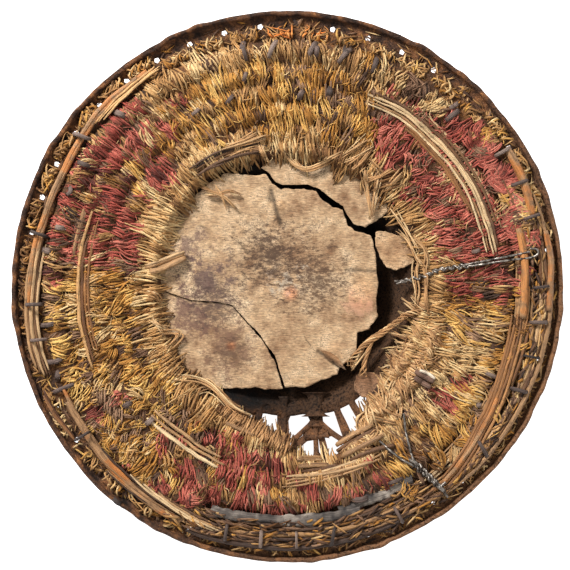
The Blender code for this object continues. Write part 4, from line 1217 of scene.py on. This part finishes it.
for line in tuft_lines:
    flat = along_line(line, TUFT_POINTS)
    share = np.linspace(-1, 1, TUFT_POINTS)
    for _ in range(TUFT_STRANDS):
        bowed = flat + rng.normal(0, 0.0009, 2) + np.outer(share, rng.normal(0, 0.0009, 2))
        level = np.maximum(body_height(*bowed.T), 0.0420) + 0.0014 + rng.uniform(0.0, 0.0014)
        paths.append(np.column_stack([bowed, level + 0.001 * (1 - share**2)]))
paths = np.stack(paths)
count = len(paths)
width = rng.uniform(0.0006, 0.0015, count)
colour = mixed_shades(rng, "twine", 0.55, 0.2, count)
put_strands("loose_tufts", paths, width, 0.7 * width, 4, colour, twine_finish, "straw", (), 0.5, 0.3)

LOCKS = 70
LOCK_FIBRES = 5
degrees = rng.uniform(-68.0, -18.0, LOCKS)
radius = inner_edge(degrees) + rng.uniform(0.003, 0.018, LOCKS)
x, y, _ = polar(radius, degrees, 0.0).T
length = rng.uniform(0.008, 0.015, LOCKS)
lean = np.radians(42.0 * rng.normal(size=LOCKS))
paths = laid_bundles(rng, x, y, LOCK_FIBRES, length, lean, 0.0011, 0.20 * length * rng.normal(size=LOCKS),
                     rng.uniform(0.002, 0.0036, LOCKS), 8)
width = rng.uniform(0.0008, 0.0015, len(paths))
shade = (0.5 + 0.16 * rng.normal(size=LOCKS)).repeat(LOCK_FIBRES) + 0.18 * rng.normal(size=len(paths))
put_strands("loose_locks", paths, width, 0.8 * width, 4, bast_colour("twine", np.clip(shade, 0, 1)),
            twine_finish,
            "straw", (), 0.6, 0.4)

# The broken end of the innermost coil at the lower left, still neatly wound where it turns up.

WOUND_FIBRES = 6
TURNS = 15
coil_end = along_line(((-39.3, -72.9), (-30.9, -80.7), (-21.3, -86.1), (-10.5, -90.9), (0.3, -95.7)), TURNS)
x, y = coil_end.T
aside = sideways(coil_end)[1]
lean = np.arctan2(aside[:, 1], aside[:, 0]) - np.arctan2(y, x) + 0.08 * rng.normal(size=TURNS)
paths = laid_bundles(rng, x, y, WOUND_FIBRES, rng.uniform(0.010, 0.012, TURNS), lean, 0.0010,
                     0.0004 * rng.normal(size=TURNS), rng.uniform(0.0042, 0.0050, TURNS), 8)
width = rng.uniform(0.0009, 0.0014, len(paths))
shade = (0.30 + 0.12 * rng.normal(size=TURNS)).repeat(WOUND_FIBRES) + 0.12 * rng.normal(size=len(paths))
put_strands("wound_coil_end", paths, width, 0.8 * width, 5, bast_colour("twine", np.clip(shade, 0, 1)),
            twine_finish, "straw", (), 0.7, 0.5)

# Locks of bast that have come loose at the right and lie over the ends of the edge canes.

UPPER_LOCKS = 92
LOWER_LOCKS = 32
locks = UPPER_LOCKS + LOWER_LOCKS
degrees = np.concatenate([rng.uniform(10.0, 40.0, UPPER_LOCKS), rng.uniform(-60.0, 10.0, LOWER_LOCKS)])
radius = np.concatenate([rng.uniform(0.1370, 0.1500, UPPER_LOCKS), rng.uniform(0.1355, 0.1440, LOWER_LOCKS)])
x, y, _ = polar(radius, degrees, 0.0).T
length = rng.uniform(0.006, 0.013, locks)
lean = np.radians(38.0 * rng.normal(size=locks))
paths = laid_bundles(rng, x, y, LOCK_FIBRES, length, lean, 0.0011, 0.10 * length * rng.normal(size=locks),
                     rng.uniform(0.001, 0.0030, locks), 6)
reach = np.hypot(paths[..., 0], paths[..., 1])
CANES_TOP = 0.0088
over = iron_back(reach) + CANES_TOP + 0.0006 * ripple(paths[..., 0], paths[..., 1], 0.004, 38)
paths[..., 2] = np.maximum(paths[..., 2], over * np.clip((0.158 - reach) / 0.004, 0.83, 1.0))
width = rng.uniform(0.0008, 0.0015, len(paths))
kind = dye_kind(x, y, rng.uniform(size=locks))
put_bast("edge_locks", paths, width, 0.7, strand_colours(rng, x, y, kind, LOCK_FIBRES, 0.05))

stalks = (
    ((30.3, -99.3), (37.5, -94.5), (44.7, -90.3), (53.1, -84.9)),
    ((32.1, -101.7), (39.9, -96.9), (48.3, -92.7), (56.7, -88.5)),
    ((29.1, -95.7), (36.3, -90.9), (43.5, -86.7), (50.7, -82.5)),
    ((33.9, -105.3), (43.5, -101.1), (53.1, -97.5), (62.7, -95.7)),
    ((6.3, -103.5), (12.9, -103.5), (20.1, -104.1)), ((5.7, -107.1), (14.7, -106.5), (24.3, -106.5)),
    ((6.9, -110.7), (17.1, -109.5), (29.1, -107.1)),
    ((5.1, -113.7), (18.3, -113.1), (33.9, -110.1), (50.7, -104.7)),
    ((-84.9, 11.7), (-76.5, 14.7), (-68.1, 18.3), (-62.1, 20.1)),
    ((-83.7, 9.3), (-75.3, 11.7), (-66.9, 15.9), (-62.7, 17.7)),
    ((-39.3, -76.5), (-30.9, -80.1), (-22.5, -84.9)), ((-36.9, -81.3), (-28.5, -84.9), (-20.1, -88.5)),
)
STALK_POINTS = 14
STALK_SPLITS = 3
paths = []
for line in stalks:
    flat = along_line(line, STALK_POINTS)
    for split in range(STALK_SPLITS):
        moved = flat + rng.normal(0, 0.0007, 2)
        level = np.maximum(body_height(*moved.T), 0.0430) + 0.0012 + 0.0008 * split
        level = np.maximum(level, np.linspace(level[0], level[-1], STALK_POINTS))
        paths.append(np.column_stack([moved, level]))
paths = np.stack(paths)
count = len(paths)
width = rng.uniform(0.0018, 0.0034, count)
colour = mixed_shades(rng, "pale_cane", 0.45, 0.2, count)
put_strands("sawn_stalks", paths, width, 0.8 * width, 6, colour, cane_finish, "cane", (), 0.7, 0.1)

# A broken stub of a thick dark lace at the lower right, with its pale torn side turned up.

bast_shades["stub"] = ((70, 50, 40), (124, 92, 74), (232, 214, 188))
stub_lines = (
    ((76.5, -50.7), (81.9, -53.7), (87.3, -56.7)), ((75.9, -54.3), (80.1, -57.3), (85.5, -60.3)),
    ((78.9, -50.1), (83.7, -51.3), (87.9, -54.9)),
)
paths = []
for line in stub_lines:
    flat = along_line(line, 9)
    paths.append(np.column_stack([flat, body_height(*flat.T) + 0.0036]))
width = np.array([0.0038, 0.0034, 0.0022])
paths = np.stack(paths)
paths[2, :, 2] += 0.0010
put_strands("broken_stub", paths, width, 0.8 * width, 8, bast_colour("stub", np.array([0.5, 0.42, 0.95])),
            cane_finish, "lace_leather", (), 0.8, 0.0)


# Tufts on the band: ends of bast that come out from under the canes between the lacing holes and curl
# over towards the rim. They are thick at the left, the top and the upper right, and sparser elsewhere,
# where dirty bits of fibre stick to the rusty band. Two tufts at the top are still bright orange.

bast_shades["orange"] = ((150, 70, 20), (222, 122, 44), (240, 170, 96))
rng = np.random.default_rng(37)
TUFT_STEPS = 9
HOLE_STEP = 8.0
BAND_END = 0.1615


def band_curl(rng, middle, inner, lift):
    """One strand on the band: from its inner radius it runs outwards, drifts to one side as a line and
    curls by part of a sine, and arches over the band by a sine to the power 0.8."""
    share = np.linspace(0, 1, TUFT_STEPS)
    begin = middle + rng.uniform(-2.6, 2.6)
    degrees = begin + rng.normal(0, 1.2) * share
    degrees = degrees + rng.normal(0, 1.0) * np.sin(np.pi * share * rng.uniform(0.8, 1.9))
    degrees = np.clip(degrees, middle - 3.0, middle + 3.0)
    radius = inner + rng.uniform(-0.001, 0.001) + share * rng.uniform(0.004, 0.0095)
    level = iron_back(radius) + lift + rng.uniform(0.0008, 0.0044) * np.sin(np.pi * share) ** 0.8
    return polar(np.minimum(radius, 0.1612), degrees, level)


curls, kind = [], []
for tuft in range(45):
    middle = HOLE_STEP * (tuft + 0.5)
    turned = (middle + 180.0) % 360.0 - 180.0
    bare_top = 38 < turned < 118
    rich = 34 if 12 < turned < 62 else 24 if 8 < turned < 200 or turned < -160 else 11
    orange = turned in (84.0, 92.0)
    for _ in range(rich):
        curls.append(band_curl(rng, middle, 0.1478 if bare_top else 0.1535, 0.0014))
        kind.append(1 if orange and rng.uniform() < 0.6 else 0)
curls, kind = np.stack(curls), np.array(kind)
x, y = curls[:, 5, 0], curls[:, 5, 1]
width = rng.uniform(0.0007, 0.0017, len(curls))
left = np.exp(-(((np.abs(np.degrees(np.arctan2(y, x))) - 180) / 24) ** 4))
undyed = np.where(rng.uniform(size=len(curls)) < 0.25, GOLD, PLAIN)
plain = strand_colours(rng, x, y, undyed, 1, 0.02 - 0.42 * left)
bright = bast_colour("orange", rng.uniform(0.3, 0.9, len(curls)))
colour = np.where(kind[:, None] == 1, bright, plain)
put_bast("band_tufts", curls, width, 0.7, colour)


def lying_fibres(x, y, turned, length, steps):
    """Straight fibres that lie flat, each centred on its point, turned and cut to its length. Returns
    their points in the plane, how far those are from the axis, and their share along the fibre."""
    share = np.linspace(-0.5, 0.5, steps)[None, :]
    ahead = share * length
    flat = np.stack([x[:, None] + ahead * np.cos(turned), y[:, None] + ahead * np.sin(turned)], axis=-1)
    return flat, np.hypot(flat[..., 0], flat[..., 1]), share


def at_height(flat, level):
    """Points in the plane with their heights."""
    return np.concatenate([flat, level[..., None]], axis=-1)


BITS_ROUND = 600
BITS_RIGHT = 300
bits = BITS_ROUND + BITS_RIGHT
degrees = np.concatenate([rng.uniform(-180.0, 180.0, BITS_ROUND), rng.uniform(-78.0, 24.0, BITS_RIGHT)])
radius = rng.uniform(0.1480, 0.1608, bits)
x, y, _ = polar(radius, degrees, 0.0).T
turned = np.radians(degrees + 90.0 + 45.0 * rng.normal(size=bits))[:, None]
flat, reach, share = lying_fibres(x, y, turned, rng.uniform(0.003, 0.010, bits)[:, None], 4)
flat = flat * (np.minimum(reach, BAND_END) / reach)[..., None]
level = iron_back(np.minimum(reach, BAND_END)) + 0.0006 + 0.0030 * np.clip((MAT_END - reach) / 0.0008, 0, 1)
paths = at_height(flat, level)
width = rng.uniform(0.0005, 0.0014, bits)
kind = rng.choice([GOLD, PLAIN, GRIMY], bits, p=[0.3, 0.4, 0.3])
lighter = np.where(np.abs(degrees + 27.0) < 51.0, 0.04, -0.12)
colour = strand_colours(rng, x, y, kind, 1, lighter)
put_bast("band_dirt", paths, width, 0.7, colour)

# Dirty fibres stuck over the split canes at the right and the bottom.

STUCK = 620
degrees = rng.uniform(-118.0, 22.0, STUCK)
radius = rng.uniform(0.1400, 0.1580, STUCK)
clear = (degrees > -56.0) & (degrees < 0.0)
radius = np.where(clear, np.maximum(radius, 0.1470 + 0.00012 * np.abs(degrees)), radius)
x, y, _ = polar(radius, degrees, 0.0).T
turned = np.radians(degrees + 90.0 + 22.0 * rng.normal(size=STUCK))[:, None]
flat, reach, share = lying_fibres(x, y, turned, rng.uniform(0.003, 0.012, STUCK)[:, None], 5)
level = iron_back(reach) + 0.0074 + rng.uniform(0.0, 0.0012, (STUCK, 1)) + 0.0010 * (1 - 4 * share**2)
level = level - 0.0030 * np.clip((reach - 0.1545) / 0.002, 0, 1)
paths = at_height(flat, level)
width = rng.uniform(0.0008, 0.0020, STUCK)
kind = rng.choice([GOLD, PLAIN, GRIMY], STUCK, p=[0.2, 0.3, 0.5])
lighter = np.where(degrees > -32.0, 0.02, -0.22)
colour = strand_colours(rng, x, y, kind, 1, lighter)
put_bast("stuck_fibres", paths, width, 0.7, colour)

# Lacing holes at the left, the lower left, the top and the upper right that are stopped up by fibre and
# dirt. The others are left open.

STOPPED_HOLES = np.array([-160.0, -152.0, -136.0, -128.0, -120.0, 40.0, 48.0, 88.0, 176.0])
HOLE_RING = 0.157
PLUG_FIBRES = 13
degrees = STOPPED_HOLES.repeat(PLUG_FIBRES)
count = len(degrees)
x, y, _ = polar(HOLE_RING, degrees, 0.0).T + rng.normal(0, 0.0009, (3, count))
turned = rng.uniform(0, np.pi, count)[:, None]
flat, reach, share = lying_fibres(x, y, turned, rng.uniform(0.0050, 0.0085, count)[:, None], 4)
level = iron_back(np.minimum(reach, BAND_END)) + rng.uniform(0.0004, 0.0016, (count, 1))
paths = at_height(flat, level)
width = rng.uniform(0.0014, 0.0022, count)
kind = rng.choice([GOLD, PLAIN, GRIMY], count, p=[0.3, 0.3, 0.4])
colour = strand_colours(rng, x, y, kind, 1, -0.14)
put_bast("stopped_holes", paths, width, 0.6, colour)


# The openwork behind the break: round bars forged from the same iron, a stem that splits into three
# legs with a collar across them, and single bars beside it. They spring from a ring round the boss, which
# is wider in places.

bars = (
    ((17.1, -64.5), (17.1, -71.7), (17.1, -78.9), 12.0), ((17.1, -76.5), (17.1, -80.7), (17.1, -84.9), 5.4),
    ((16.5, -81.3), (9.9, -87.3), (2.1, -94.5), 4.2),
    ((17.1, -81.3), (17.1, -92.1), (17.7, -104.1), 4.2), ((18.3, -81.3), (26.1, -87.9), (34.5, -93.9), 4.2),
    ((10.5, -90.3), (17.7, -91.5), (24.9, -89.7), 3.3), ((-2.1, -66.9), (-2.1, -76.5), (-2.7, -98.1), 4.8),
    ((27.9, -70.5), (34.5, -83.1), (39.9, -95.7), 4.5), ((36.3, -66.9), (43.5, -76.5), (50.7, -87.3), 4.5),
    ((-15.3, -70.5), (-17.7, -80.1), (-21.3, -92.1), 5.4), ((45.9, -60.9), (53.1, -69.3), (60.3, -76.5), 7.2),
)
BAR_STEPS = 24
COLLAR_WIDTH = 3.3
paths, width = [], []
for *line, wide in bars:
    flat = along_line(line, BAR_STEPS)
    raised = 0.0012 if wide == COLLAR_WIDTH else 0.0
    paths.append(np.column_stack([flat, iron_back(np.hypot(*flat.T)) + 0.0002 + raised]))
    width.append(wide / 1000)
flare = 0.78 + 0.75 * np.abs(np.linspace(-1.0, 1.0, BAR_STEPS)) ** 5
width = np.array(width)[:, None] * flare
points, quads, tris, uv = tubes(np.stack(paths), width, 0.55 * width, 10)
place(put_mesh("forged_bars", points, quads, tris, uv), iron_finish, "iron")

round_angles = np.linspace(-180.0, 180.0, 361)
wide_places = ((-119, 14, 1.0), (-66, 10, 0.5), (-6, 18, 1.0), (118, 26, 1.0))
wide_parts = sum(share * np.exp(-(((round_angles - middle) / half) ** 4))
                 for middle, half, share in wide_places)
ring_width = 0.0056 + 0.0056 * wide_parts + 0.0004 * wobble(round_angles, 4.0, 48)
ring_width[-1] = ring_width[0]
ring_radius = BOSS_EDGE + ring_width / 2
ring_path = polar(ring_radius, round_angles, iron_back(ring_radius) + 0.0004)[None]
points, quads, tris, uv = tubes(ring_path, ring_width[None], np.full((1, 361), 0.0016), 8)
place(put_mesh("forged_ring", points, quads, tris, uv), iron_finish, "iron")
